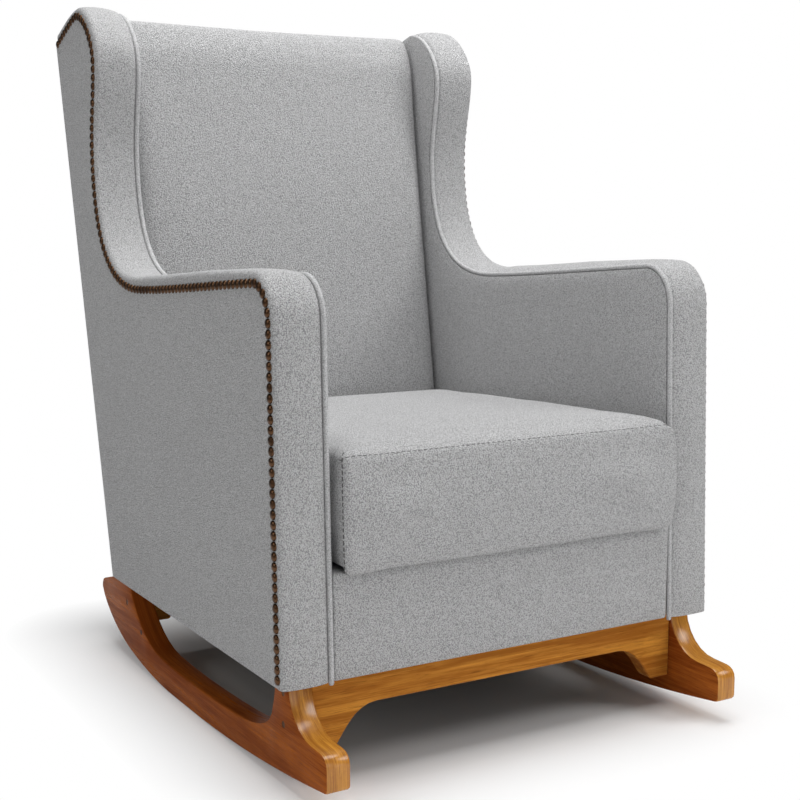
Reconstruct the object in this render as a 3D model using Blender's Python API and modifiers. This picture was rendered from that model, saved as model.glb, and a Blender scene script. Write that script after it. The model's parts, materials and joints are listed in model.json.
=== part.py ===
"""Nursing rocking chair: a wing-back upholstered armchair on two wooden rockers.

Metres, +Z up, +Y towards the back, origin on the floor at the centre of the chair's box.
Side views are written as (y, z) with y counted back from the upholstery's front edge.
"""

import math

import bmesh
import bpy
from mathutils import Matrix, Vector
from mathutils.geometry import interpolate_bezier

# Fits
GAP = 0.0003                # between solids that touch
SLACK = 0.0012              # between the loose cushion and the arms

# Whole chair
BODY_HALF_WIDTH = 0.340     # outer face of an arm
ARM_WIDTH = 0.072           # facing band, from inner to outer face
BASE_HEIGHT = 0.138         # underside of the upholstery above the floor

# Arm and wing outline, seen from the side
ARM_HEIGHT = 0.4955         # arm top above the underside
ARM_LEAN = 0.0155           # the arm front leans back by this much at the corner
ARM_CORNER = 0.050          # radius of the arm's front corner
ARM_FALL = 0.0285           # the arm top falls towards the wing
NOTCH_Y = 0.460             # where the arm top turns up into the wing
WAIST_Y = 0.648
WAIST_HEIGHT = 0.665
WING_REACH_Y = 0.632        # the wing's foremost point
WING_REACH_HEIGHT = 0.795
WING_TOP_Y = 0.716
WING_HEIGHT = 0.880         # wing top above the underside
BACK_TOP_Y = 0.827          # outer back at its top
BACK_TOP_DROP = 0.037       # outer back's top below the wing top
BACK_FOOT_Y = 0.616         # outer back at the underside
BACK_TOP_FALL = 23.0        # degrees, slope of the wing's top where it meets the back

# Soft goods
BAND_DEPTH = 0.009
BAND_CROWN = 0.009
PIPING_RADIUS = 0.0028
SKIN = 0.004                # stretched fabric on its backing board
APRON_DEPTH = 0.010
PANEL_INSET = 0.003         # the side panel stops short of the facing band's corner
NAIL_INSET = 0.007          # nail line from the facing band's corner
NAIL_WIDTH = 0.0105
NAIL_RISE = 0.0027
BACK_FACE_FOOT_Y = 0.5705   # front of the back pad, carried down to the underside
BACK_FACE_TILT = 8.9        # degrees
BACK_PAD_CROWN = 0.012
BACK_PAD_DROP = 0.004       # the pad's top below the wing top
BACK_PAD_ROLL = 0.018       # the pad's top rolls back by this much
BACK_PAD_EDGE = 0.018       # the pad's face falls away over this much at its rim
BACK_PAD_ROUND = 0.004
COVER_EDGE = 0.003
PANEL_EDGE = 0.001
NAIL_FOOT = 0.004           # first nail above the underside

# Seat
SEAT_HEIGHT = 0.1368        # deck top above the underside, at the front
SEAT_TILT = 2.5             # degrees, falling to the back
DECK_DEPTH = 0.018
CUSHION_HEIGHT = 0.144
CUSHION_CROWN = 0.018
CUSHION_OVERHANG = 0.025    # in front of the apron
CUSHION_EDGE = 0.016
CUSHION_DRAW_IN = 0.004
CUSHION_BULGE = 0.006       # front boxing
SPRING_WIRE = 0.0036
SPRING_COUNT = 4
SPRING_WIDTH = 0.050
SPRING_BENDS = 14
CLIP_SHEET = 0.0012
CLIP_LENGTH = 0.007

# Timber frame
POST_DEPTH = 0.045
RAIL_DEPTH = 0.028
BOARD_EDGE = 0.001
WING_BOARD = 0.016
ARM_BOARD = 0.028           # arm rail at the wing
WING_BOARD_FOOT = 0.090     # wing boards reach this far below the arm top
BACK_POST_FOOT = 0.030      # back post depth at the underside
BACK_POST_TOP = 0.055       # back post depth at the top
SEAT_RAIL_HEIGHT = 0.088
BACK_RAIL_HEIGHT = 0.062
MIDDLE_RAIL_DROP = 0.020    # below the arm's height
TOP_COVER_DEPTH = 0.016
STRAP_DEPTH = 0.002
STRAP_WIDTH = 0.050
STRAP_MARGIN = 0.010        # straps stop this far inside the frame
STRAP_COLUMNS = 4
STRAP_ROWS = 5
BLOCK_LEG = 0.060
BLOCK_HEIGHT = 0.066
DUST_SHEET = 0.0012

# Rockers
ROCKER_INSET = 0.0175       # a rocker's outer face inside the arm's outer face
ROCKER_THICKNESS = 0.0325
RUNNER_DEPTH = 0.043
ROCK_LOW_Y = 0.380          # where the rocker touches the floor
ROCK_FLAT = 0.060
ROCK_FRONT_RADIUS = 2.87
ROCK_REAR_RADIUS = 0.85
LEG_FRONT_Y = 0.0165
LEG_DEPTH = 0.0375
TOE_REACH = 0.0855          # toe in front of the upholstery
TOE_TOP = 0.0575            # toe top below the underside
TOE_ROUND = 0.017
TOE_FALL = 0.001            # the toe's top falls by this to its rounding
CHIN_ROUND = 0.007
NECK_REACH = 0.012          # behind the leg
NECK_DROP = 0.052           # below the underside
THROAT_REACH = 0.121        # behind the leg, where the runner reaches its full depth
HEEL_Y = 0.600              # where the rocker turns up at the back
HEEL_TIP_Y = 0.722
HEEL_TIP_DROP = 0.036       # below the underside
HEEL_SLOPE = 16.0           # degrees, top of the rear end
HEEL_ROUND = 0.010
HEEL_SEAT_INSET = 0.028     # the heel's seat starts this far in front of the back's foot
HEEL_SEAT_DEPTH = 0.023
ARCH_REACH = 0.033          # in front of the heel's seat
ARCH_DROP = 0.052           # below the underside
ARCH_FOOT_REACH = 0.135
ROCKER_EDGE = 0.0025

# Cross rails between the rockers
CROSS_RAIL_DEPTH = 0.026
CROSS_RAIL_HEIGHT = 0.0445
CROSS_RAIL_EDGE = 0.0015
FRONT_CROSS_Y = 0.0175      # front face of the front rail
FRONT_BRACKET_DROP = 0.095  # bracket foot below the underside
REAR_BRACKET_DROP = 0.077
BRACKET_FOOT = 0.033        # flat foot at the rocker
BRACKET_SPREAD = 1.21       # from the foot to the rail's straight underside, a share of its drop

# Fasteners
SCREW_RADIUS = 0.0024
SCREW_HEAD_RADIUS = 0.0044
SCREW_HEAD_DEPTH = 0.003
SCREW_LENGTH = 0.060
UPPER_SCREW_DROP = 0.015    # below the underside
LOWER_SCREW_DROP = 0.056
REAR_SCREW_DROP = 0.043
DOWEL_RADIUS = 0.004
DOWEL_LENGTH = 0.024
DOWEL_REACH = 0.049         # in front of the heel's seat, on the runner's rise
DOWEL_DROP = 0.076
HANGER_RADIUS = 0.004
HANGER_REACH = 0.032        # each way from the joint
BORE_CLEARANCE = 0.0003

ARC_STEPS = 7
ROUND_SIDES = 12


def clear_scene():
    for obj in list(bpy.data.objects):
        bpy.data.objects.remove(obj, do_unlink=True)


clear_scene()
PARTS = bpy.data.collections.new("nursing_rocking_chair")
CUTTERS = bpy.data.collections.new("cutters")
bpy.context.scene.collection.children.link(PARTS)
bpy.context.scene.collection.children.link(CUTTERS)


def make_material(name, colour, roughness, metallic=0.0):
    material = bpy.data.materials.new(name)
    material.use_nodes = True
    shader = material.node_tree.nodes["Principled BSDF"]
    shader.inputs["Base Color"].default_value = (*colour, 1.0)
    shader.inputs["Roughness"].default_value = roughness
    shader.inputs["Metallic"].default_value = metallic
    return material


FABRIC = make_material("grey_wool", (0.42, 0.42, 0.43), 0.95)
WELT = make_material("grey_welt", (0.38, 0.38, 0.39), 0.95)
HONEY_WOOD = make_material("honey_wood", (0.52, 0.24, 0.07), 0.35)
PLUG_WOOD = make_material("plug_wood", (0.30, 0.13, 0.04), 0.45)
TIMBER = make_material("frame_timber", (0.62, 0.47, 0.30), 0.7)
BRONZE = make_material("bronze_nails", (0.16, 0.09, 0.05), 0.35, 1.0)
STEEL = make_material("zinc_steel", (0.55, 0.55, 0.56), 0.4, 1.0)
SPRING_STEEL = make_material("spring_steel", (0.30, 0.31, 0.33), 0.4, 1.0)
DUST_CLOTH = make_material("dust_cloth", (0.03, 0.03, 0.03), 0.9)
STRAP_WEB = make_material("strap_web", (0.35, 0.27, 0.17), 0.9)
DECK_FELT = make_material("deck_felt", (0.30, 0.30, 0.30), 0.95)

# Places worked out from the sizes above
ARM_INNER = BODY_HALF_WIDTH - ARM_WIDTH
PAD_DEPTH = 2 * PIPING_RADIUS
SLAB_INNER = ARM_INNER + PAD_DEPTH + 2 * GAP
SLAB_OUTER = BODY_HALF_WIDTH - SKIN - GAP
CORE_INSET = BAND_DEPTH + 2 * GAP
BACK_TOP_HEIGHT = WING_HEIGHT - BACK_TOP_DROP
BACK_PAD_TOP = WING_HEIGHT - BACK_PAD_DROP
BACK_SLOPE = (BACK_TOP_Y - BACK_FOOT_Y) / BACK_TOP_HEIGHT
FACE_SLOPE = math.tan(math.radians(BACK_FACE_TILT))
SEAT_SLOPE = math.tan(math.radians(SEAT_TILT))
CORNER_HEIGHT = ARM_HEIGHT - ARM_CORNER
ROCKER_OUTER = BODY_HALF_WIDTH - ROCKER_INSET
ROCKER_INNER = ROCKER_OUTER - ROCKER_THICKNESS
HEEL_SEAT_FRONT_Y = BACK_FOOT_Y - HEEL_SEAT_INSET
HEEL_SEAT_REAR_Y = HEEL_SEAT_FRONT_Y + HEEL_SEAT_DEPTH
REAR_CROSS_Y = HEEL_SEAT_FRONT_Y    # front face of the rear rail
BACK_PANEL_TOP = BACK_TOP_HEIGHT + 0.5 * BAND_CROWN
ORIGIN_Y = (BACK_FOOT_Y + BACK_SLOPE * BACK_PANEL_TOP - TOE_REACH) / 2
CLIP_FLOOR = DECK_DEPTH + 2 * GAP + SPRING_WIRE
RAIL_FLOOR = CLIP_FLOOR + CLIP_SHEET + 2 * GAP


def empty(name, parent, location, rotation=(0.0, 0.0, 0.0)):
    holder = bpy.data.objects.new(name, None)
    PARTS.objects.link(holder)
    holder.parent = parent
    holder.location = location
    holder.rotation_euler = rotation
    return holder


CHAIR = empty("chair_origin", None, (0.0, -ORIGIN_Y, 0.0))
BODY = empty("upholstery_origin", CHAIR, (0.0, 0.0, BASE_HEIGHT))
SEAT = empty("seat_plane", BODY, (0.0, 0.0, SEAT_HEIGHT), (-math.radians(SEAT_TILT), 0.0, 0.0))


def rear_y(z, inset=0.0):
    """Outer back at height z, or a line that lies inset in front of it."""
    return BACK_FOOT_Y + BACK_SLOPE * z - inset


def post_y(z):
    """Front of the back posts and back rails."""
    share = z / BACK_TOP_HEIGHT
    return rear_y(z, BACK_POST_FOOT + (BACK_POST_TOP - BACK_POST_FOOT) * share)


def face_y(z):
    return BACK_FACE_FOOT_Y + FACE_SLOPE * z


def seat_z(y, below=0.0):
    return SEAT_HEIGHT - SEAT_SLOPE * y - below


def heading(angle, length):
    return Vector((math.cos(math.radians(angle)), math.sin(math.radians(angle)))) * length


def bend(start, start_angle, start_pull, end, end_angle, end_pull, steps=ARC_STEPS):
    """Points of one smooth stretch, without its last. Pulls are shares of its straight length."""
    first = Vector(start)
    last = Vector(end)
    span = (last - first).length
    points = interpolate_bezier(
        first.to_3d(),
        (first + heading(start_angle, start_pull * span)).to_3d(),
        (last - heading(end_angle, end_pull * span)).to_3d(),
        last.to_3d(),
        steps + 1,
    )
    return [point.to_2d() for point in points[:-1]]


def arm_and_wing_path():
    """Outline of an arm and its wing, from the front foot over the top to the back."""
    lean_angle = math.degrees(math.atan2(CORNER_HEIGHT, ARM_LEAN))
    corner_start = (ARM_LEAN, CORNER_HEIGHT)
    corner_end = (ARM_LEAN + ARM_CORNER, ARM_HEIGHT)
    notch = (NOTCH_Y, ARM_HEIGHT - ARM_FALL)
    waist = (WAIST_Y, WAIST_HEIGHT)
    reach = (WING_REACH_Y, WING_REACH_HEIGHT)
    top = (WING_TOP_Y, WING_HEIGHT)
    back = (rear_y(BACK_TOP_HEIGHT, SKIN + GAP), BACK_TOP_HEIGHT)
    arm_angle = -math.degrees(math.atan2(ARM_FALL, NOTCH_Y - corner_end[0]))
    return {
        "front": [Vector((0.0, 0.0)), Vector((0.5 * ARM_LEAN, 0.5 * CORNER_HEIGHT))],
        "corner": bend(corner_start, lean_angle, 0.389, corner_end, arm_angle, 0.389),
        "arm": bend(corner_end, arm_angle, 0.329, notch, arm_angle * 0.5, 0.253, 4),
        "sweep": bend(notch, arm_angle * 0.5, 0.48, waist, 90.0, 0.48, 9),
        "waist": bend(waist, 90.0, 0.347, reach, 90.0, 0.347, 4),
        "crest": bend(reach, 90.0, 0.32, top, 0.0, 0.32),
        "rear": bend(top, 0.0, 0.113, back, -BACK_TOP_FALL, 0.378, 4) + [Vector(back)],
    }


def offset(points, distance):
    """The path moved into the chair, to the right of its direction."""
    moved = []
    for index, point in enumerate(points):
        before = points[max(index - 1, 0)]
        after = points[min(index + 1, len(points) - 1)]
        along = (after - before).normalized()
        moved.append(point + Vector((along.y, -along.x)) * distance)
    return moved


STRETCHES = arm_and_wing_path()
PATH = [point for stretch in STRETCHES.values() for point in stretch]


def path_part(first, last):
    """The points of the stretches from first to last, with the point that ends them."""
    names = list(STRETCHES)
    start = sum(len(STRETCHES[name]) for name in names[:names.index(first)])
    end = sum(len(STRETCHES[name]) for name in names[:names.index(last) + 1])
    return slice(start, min(end + 1, len(PATH)))


def up_to_post(points):
    """The path as far as the front line of the back post."""
    reached = []
    for point in points:
        past = point.x - (post_y(point.y) - GAP)
        if past > 0.0:
            before = reached[-1]
            short = (post_y(before.y) - GAP) - before.x
            reached.append(before.lerp(point, short / (short + past)))
            break
        reached.append(point)
    return reached


def ended(points, low, rear_inset):
    """The offset path with its foot at height low and its rear end on the back's line."""
    tidy = [point.copy() for point in points]
    tidy[0].y = low
    tidy[-1].x = rear_y(tidy[-1].y, rear_inset)
    return tidy


def place(obj, parent, matrix=None):
    PARTS.objects.link(obj)
    obj.parent = parent
    if matrix is not None:
        obj.matrix_local = matrix
    return obj


def tidy_mesh(mesh, merge=0.00001):
    shape = bmesh.new()
    shape.from_mesh(mesh)
    bmesh.ops.remove_doubles(shape, verts=shape.verts, dist=merge)
    bmesh.ops.dissolve_limit(
        shape, angle_limit=math.radians(0.05), verts=shape.verts, edges=shape.edges)
    bmesh.ops.recalc_face_normals(shape, faces=shape.faces)
    shape.to_mesh(mesh)
    shape.free()


def smooth(mesh, angle=35.0):
    mesh.shade_smooth()
    mesh.set_sharp_from_angle(angle=math.radians(angle))


def bevel(obj, width, segments=1):
    if width > 0.0:
        edge = obj.modifiers.new("rounded_edges", 'BEVEL')
        edge.width = width
        edge.segments = segments
        edge.limit_method = 'ANGLE'
        edge.angle_limit = math.radians(40.0)


SIDE_VIEW = Matrix(((0, 0, 1, 0), (1, 0, 0, 0), (0, 1, 0, 0), (0, 0, 0, 1)))
FRONT_VIEW = Matrix(((1, 0, 0, 0), (0, 0, -1, 0), (0, 1, 0, 0), (0, 0, 0, 1)))


def solid_from_curve(curve, name, matrix, material, parent):
    guide = bpy.data.objects.new(name + "_guide", curve)
    PARTS.objects.link(guide)
    bpy.context.view_layer.update()
    graph = bpy.context.evaluated_depsgraph_get()
    mesh = bpy.data.meshes.new_from_object(guide.evaluated_get(graph))
    bpy.data.objects.remove(guide, do_unlink=True)
    bpy.data.curves.remove(curve)
    mesh.name = name
    tidy_mesh(mesh)
    mesh.materials.clear()
    mesh.materials.append(material)
    return place(bpy.data.objects.new(name, mesh), parent, matrix)


def flat_curve(name, points, closed=True):
    curve = bpy.data.curves.new(name, 'CURVE')
    curve.dimensions = '2D'
    spline = curve.splines.new('POLY')
    spline.points.add(len(points) - 1)
    for knot, point in zip(spline.points, points):
        knot.co = (point[0], point[1], 0.0, 1.0)
    spline.use_cyclic_u = closed
    return curve


def board(name, outline, low, high, material, edge=0.0, parent=None, view=SIDE_VIEW, segments=1):
    """A flat outline given a thickness from low to high, across the view."""
    curve = flat_curve(name, outline)
    curve.fill_mode = 'BOTH'
    curve.extrude = (high - low) / 2
    middle = view @ Matrix.Translation((0.0, 0.0, (low + high) / 2))
    obj = solid_from_curve(curve, name, middle, material, parent or BODY)
    bevel(obj, edge, segments)
    return obj


def slab(name, outline, side, inner, outer, material, edge=0.0, parent=None, segments=1):
    """A board in the arm on one side, from inner to outer, both counted from the middle."""
    low, high = sorted((side * inner, side * outer))
    return board(name, outline, low, high, material, edge, parent, segments=segments)


def swept(name, path, section, side, across, material):
    """A section, as (outward, across) points, carried along a path in the side view."""
    rim = flat_curve(name + "_section", [(out, side * (away - across)) for out, away in section])
    rim_guide = bpy.data.objects.new(name + "_section_guide", rim)
    PARTS.objects.link(rim_guide)
    curve = flat_curve(name, path, closed=False)
    curve.fill_mode = 'NONE'
    curve.bevel_mode = 'OBJECT'
    curve.bevel_object = rim_guide
    curve.use_fill_caps = True
    middle = SIDE_VIEW @ Matrix.Translation((0.0, 0.0, side * across))
    obj = solid_from_curve(curve, name, middle, material, BODY)
    bpy.data.objects.remove(rim_guide, do_unlink=True)
    bpy.data.curves.remove(rim)
    smooth(obj.data)
    return obj


def box(name, low, high, material, edge=0.0, parent=None):
    mesh = bpy.data.meshes.new(name)
    shape = bmesh.new()
    size = [b - a for a, b in zip(low, high)]
    middle = [(a + b) / 2 for a, b in zip(low, high)]
    matrix = Matrix.Translation(middle) @ Matrix.Diagonal((*size, 1.0))
    bmesh.ops.create_cube(shape, size=1.0, matrix=matrix)
    shape.to_mesh(mesh)
    shape.free()
    mesh.materials.append(material)
    obj = place(bpy.data.objects.new(name, mesh), parent or BODY)
    bevel(obj, edge)
    return obj


def turned(profile, sides=ROUND_SIDES):
    """Mesh of a profile, as (radius, height) points from top to bottom, turned about z."""
    mesh = bpy.data.meshes.new("turned")
    edges = [(index, index + 1) for index in range(len(profile) - 1)]
    mesh.from_pydata([(radius, 0.0, height) for radius, height in profile], edges, [])
    guide = bpy.data.objects.new("turned_guide", mesh)
    PARTS.objects.link(guide)
    screw = guide.modifiers.new("turn", 'SCREW')
    screw.steps = sides
    screw.render_steps = sides
    screw.use_merge_vertices = True
    screw.merge_threshold = 0.00001
    bpy.context.view_layer.update()
    graph = bpy.context.evaluated_depsgraph_get()
    solid = bpy.data.meshes.new_from_object(guide.evaluated_get(graph))
    bpy.data.objects.remove(guide, do_unlink=True)
    bpy.data.meshes.remove(mesh)
    tidy_mesh(solid)
    return solid


def group(name, mesh, places, material, parent=None):
    """One object made of a mesh copied to each of several places."""
    joined = bpy.data.meshes.new(name)
    shape = bmesh.new()
    for matrix in places:
        copy = mesh.copy()
        copy.transform(matrix)
        shape.from_mesh(copy)
        bpy.data.meshes.remove(copy)
    bmesh.ops.recalc_face_normals(shape, faces=shape.faces)
    shape.to_mesh(joined)
    shape.free()
    smooth(joined)
    joined.materials.clear()
    joined.materials.append(material)
    return place(bpy.data.objects.new(name, joined), parent or BODY)


def cutter(name, mesh, places, parent=None):
    tool = group(name, mesh, places, STEEL, parent)
    PARTS.objects.unlink(tool)
    CUTTERS.objects.link(tool)
    tool.hide_render = True
    tool.display_type = 'WIRE'
    return tool


def cut(obj, tool):
    drill = obj.modifiers.new("bores", 'BOOLEAN')
    drill.operation = 'DIFFERENCE'
    drill.solver = 'EXACT'
    drill.object = tool


def soft_block(name, cuts, half, edge, shape_point, material, parent):
    """A padded block: a gridded cube with round edges, then moved by shape_point."""
    mesh = bpy.data.meshes.new(name)
    shape = bmesh.new()
    bmesh.ops.create_cube(shape, size=2.0)
    bmesh.ops.subdivide_edges(shape, edges=shape.edges[:], cuts=cuts, use_grid_fill=True)
    for vert in shape.verts:
        spread = Vector([math.sin(value * math.pi / 2) for value in vert.co])
        point = Vector([value * size for value, size in zip(spread, half)])
        core = Vector([
            max(min(value, size - edge), edge - size) for value, size in zip(point, half)])
        away = point - core
        if away.length > 0.0:
            point = core + away.normalized() * edge
        vert.co = shape_point(point, spread)
    bmesh.ops.recalc_face_normals(shape, faces=shape.faces)
    shape.to_mesh(mesh)
    shape.free()
    mesh.shade_smooth()
    mesh.materials.append(material)
    return place(bpy.data.objects.new(name, mesh), parent)


def rocker_outline():
    """Outline of a rocker in the side view, heights from the floor."""
    seat = BASE_HEIGHT - GAP
    leg_rear = LEG_FRONT_Y + LEG_DEPTH
    toe_top = BASE_HEIGHT - TOE_TOP
    heel_tip = BASE_HEIGHT - HEEL_TIP_DROP
    flat_front = ROCK_LOW_Y - ROCK_FLAT / 2
    flat_rear = ROCK_LOW_Y + ROCK_FLAT / 2

    def front_arc(y):
        return ROCK_FRONT_RADIUS - math.sqrt(ROCK_FRONT_RADIUS ** 2 - (flat_front - y) ** 2)

    def rear_arc(y):
        return ROCK_REAR_RADIUS - math.sqrt(ROCK_REAR_RADIUS ** 2 - (y - flat_rear) ** 2)

    shin_foot = (-0.5 * TOE_REACH, toe_top)
    shin = bend((LEG_FRONT_Y, seat), -95.0, 0.419, shin_foot, 180.0, 0.349, 6)
    brow = (-TOE_REACH + TOE_ROUND, toe_top - TOE_FALL)
    nose = (-TOE_REACH, toe_top - TOE_ROUND)
    toe = bend(brow, 182.0, 0.4, nose, 270.0, 0.4, 4)
    chin_y = -TOE_REACH + CHIN_ROUND
    chin_top = (-TOE_REACH, front_arc(chin_y) + CHIN_ROUND)
    chin = [Vector(nose)] + bend(chin_top, -90.0, 0.4, (chin_y, front_arc(chin_y)), -10.0, 0.4, 3)
    runs = 9
    sole = [Vector((y, front_arc(y))) for y in
            [chin_y + (flat_front - chin_y) * step / runs for step in range(runs + 1)]]
    sole += [Vector((y, rear_arc(y))) for y in
             [flat_rear + (HEEL_Y - flat_rear) * step / runs for step in range(runs)]]
    rise = math.degrees(math.asin((HEEL_Y - flat_rear) / ROCK_REAR_RADIUS))
    tip = (HEEL_TIP_Y, heel_tip - HEEL_ROUND)
    heel = bend((HEEL_Y, rear_arc(HEEL_Y)), rise, 0.362, tip, 66.0, 0.217, 7)
    crown_y = HEEL_TIP_Y - 0.8 * HEEL_ROUND
    crown_z = seat - (crown_y - HEEL_SEAT_REAR_Y) * math.tan(math.radians(HEEL_SLOPE))
    corner = bend(tip, 66.0, 0.332, (crown_y, crown_z), 180.0 - HEEL_SLOPE, 0.332, 4)
    seat_block = [Vector((crown_y, crown_z)), Vector((HEEL_SEAT_REAR_Y, seat))]
    arch_y = HEEL_SEAT_FRONT_Y - ARCH_FOOT_REACH
    arch_foot = (arch_y, rear_arc(arch_y) + RUNNER_DEPTH)
    arch_rear = (HEEL_SEAT_FRONT_Y - ARCH_REACH, BASE_HEIGHT - ARCH_DROP)
    arch = bend((HEEL_SEAT_FRONT_Y, seat), -96.0, 0.359, arch_rear, -137.0, 0.326, 4)
    rear_slope = math.degrees(math.asin((arch_y - flat_rear) / ROCK_REAR_RADIUS))
    arch += bend(arch_rear, -137.0, 0.256, arch_foot, 180.0 + rear_slope, 0.411, 5)
    throat_y = leg_rear + THROAT_REACH
    throat = (throat_y, front_arc(throat_y) + RUNNER_DEPTH)
    front_slope = math.degrees(math.asin((flat_front - throat_y) / ROCK_FRONT_RADIUS))
    back_of_leg = (leg_rear + NECK_REACH, BASE_HEIGHT - NECK_DROP)
    run = bend(arch_foot, 180.0 + rear_slope, 0.3, throat, 180.0 - front_slope, 0.3, 5)
    neck = bend(throat, 180.0 - front_slope, 0.475, back_of_leg, 110.0, 0.207, 6)
    neck += bend(back_of_leg, 110.0, 0.339, (leg_rear, seat), 90.0, 0.339, 4)
    return shin + [Vector(shin_foot)] + toe + chin + sole + heel + corner + seat_block + arch + \
        run + neck + [Vector((leg_rear, seat))]


def cross_rail_outline(bracket_drop):
    """Front view of a cross rail: a straight rail with a curved bracket at each end."""
    half = ROCKER_INNER - GAP
    top = BASE_HEIGHT - GAP
    under = BASE_HEIGHT - CROSS_RAIL_HEIGHT
    foot = BASE_HEIGHT - bracket_drop
    foot_inner = half - BRACKET_FOOT
    rail_end = foot_inner - BRACKET_SPREAD * (bracket_drop - CROSS_RAIL_HEIGHT)
    curve = bend((foot_inner, foot), 128.0, 0.30, (rail_end, under), 180.0, 0.42, 8)
    right = [Vector((half, top)), Vector((half, foot))] + curve + [Vector((rail_end, under))]
    left = [Vector((-point.x, point.y)) for point in reversed(right)]
    return right + left


def cross_rail(name, front, bracket_drop):
    return board(name, cross_rail_outline(bracket_drop), -front - CROSS_RAIL_DEPTH, -front, HONEY_WOOD,
                 CROSS_RAIL_EDGE, CHAIR, FRONT_VIEW)


def along_x(side, x, y, z):
    """Places a turned piece with its top towards the outside of the chair."""
    return Matrix.Translation((side * x, y, z)) @ Matrix.Rotation(side * math.pi / 2, 4, 'Y')


def fastener(name, mesh, matrix, material):
    return group(name, mesh, [matrix], material, CHAIR)


def cylinder_profile(radius, top, bottom):
    return [(0.0, top), (radius, top), (radius, bottom), (0.0, bottom)]


def screw_profile(grow=0.0):
    """A countersunk screw from its head's top at 0 down, or its bore when grown."""
    mouth = 10 * grow
    head = SCREW_HEAD_RADIUS + grow
    shaft = SCREW_RADIUS + grow
    end = -SCREW_LENGTH - grow
    return [(0.0, mouth), (head, mouth), (head, -0.2 * SCREW_HEAD_DEPTH),
            (shaft, -SCREW_HEAD_DEPTH - grow), (shaft, end + SCREW_RADIUS), (0.5 * shaft, end),
            (0.0, end)]


def make_base():
    """Rockers, cross rails and the fasteners that hold them to each other and to the seat."""
    outline = rocker_outline()
    rockers = []
    for side, name in ((-1, "left"), (1, "right")):
        rocker = slab(name + "_rocker", outline, side, ROCKER_INNER, ROCKER_OUTER,
                      HONEY_WOOD, ROCKER_EDGE, CHAIR, 2)
        smooth(rocker.data, 30.0)
        rockers.append(rocker)
    rails = [cross_rail("front_cross_rail", FRONT_CROSS_Y, FRONT_BRACKET_DROP),
             cross_rail("rear_cross_rail", REAR_CROSS_Y, REAR_BRACKET_DROP)]
    front_y = FRONT_CROSS_Y + CROSS_RAIL_DEPTH / 2
    rear_middle = REAR_CROSS_Y + CROSS_RAIL_DEPTH / 2
    screws = {"front_upper_screw": (front_y, UPPER_SCREW_DROP),
              "front_lower_screw": (front_y, LOWER_SCREW_DROP),
              "rear_screw": (rear_middle, REAR_SCREW_DROP)}
    dowels = {"heel_dowel": (HEEL_SEAT_FRONT_Y - DOWEL_REACH, DOWEL_DROP)}
    hangers = {"front_hanger_bolt": LEG_FRONT_Y + 0.78 * LEG_DEPTH,
               "rear_hanger_bolt": (HEEL_SEAT_FRONT_Y + HEEL_SEAT_REAR_Y) / 2}
    screw = turned(screw_profile())
    dowel = turned(cylinder_profile(DOWEL_RADIUS, 0.0, -DOWEL_LENGTH))
    hanger = turned(cylinder_profile(HANGER_RADIUS, HANGER_REACH, -HANGER_REACH))
    hanger_x = ROCKER_OUTER - ROCKER_THICKNESS / 2
    screw_places, dowel_places, hanger_places = [], [], []
    for side, name in ((-1, "left"), (1, "right")):
        for label, (y, drop) in screws.items():
            screw_places.append(along_x(side, ROCKER_OUTER - GAP, y, BASE_HEIGHT - drop))
            fastener(name + "_" + label, screw, screw_places[-1], STEEL)
        for label, (y, drop) in dowels.items():
            dowel_places.append(along_x(side, ROCKER_OUTER, y, BASE_HEIGHT - drop))
            fastener(name + "_" + label, dowel, dowel_places[-1], PLUG_WOOD)
        for label, y in hangers.items():
            hanger_places.append(Matrix.Translation((side * hanger_x, y, BASE_HEIGHT)))
            fastener(name + "_" + label, hanger, hanger_places[-1], STEEL)

    reach = HANGER_REACH + GAP
    hanger_bore = turned(cylinder_profile(HANGER_RADIUS + BORE_CLEARANCE, reach, -reach))
    dowel_radius = DOWEL_RADIUS + BORE_CLEARANCE
    dowel_bore = turned(cylinder_profile(dowel_radius, DOWEL_RADIUS, -DOWEL_LENGTH - GAP))
    bores = cutter("screw_bores", turned(screw_profile(BORE_CLEARANCE)), screw_places, CHAIR)
    dowel_bores = cutter("dowel_bores", dowel_bore, dowel_places, CHAIR)
    hanger_bores = cutter("hanger_bores", hanger_bore, hanger_places, CHAIR)
    for rocker in rockers:
        cut(rocker, bores)
        cut(rocker, dowel_bores)
        cut(rocker, hanger_bores)
    for rail in rails:
        cut(rail, bores)
    return hanger_bores


def core_path():
    return offset(PATH, CORE_INSET)


def arm_rail_floor(y):
    """Underside of the arm rail, a straight line under the sloping arm top."""
    notch_top = ARM_HEIGHT - ARM_FALL - CORE_INSET
    notch_floor = notch_top - ARM_BOARD
    front_floor = CORNER_HEIGHT - 0.2 * ARM_BOARD
    share = (y - ARM_LEAN) / (NOTCH_Y - ARM_LEAN)
    return front_floor + (notch_floor - front_floor) * share


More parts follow.
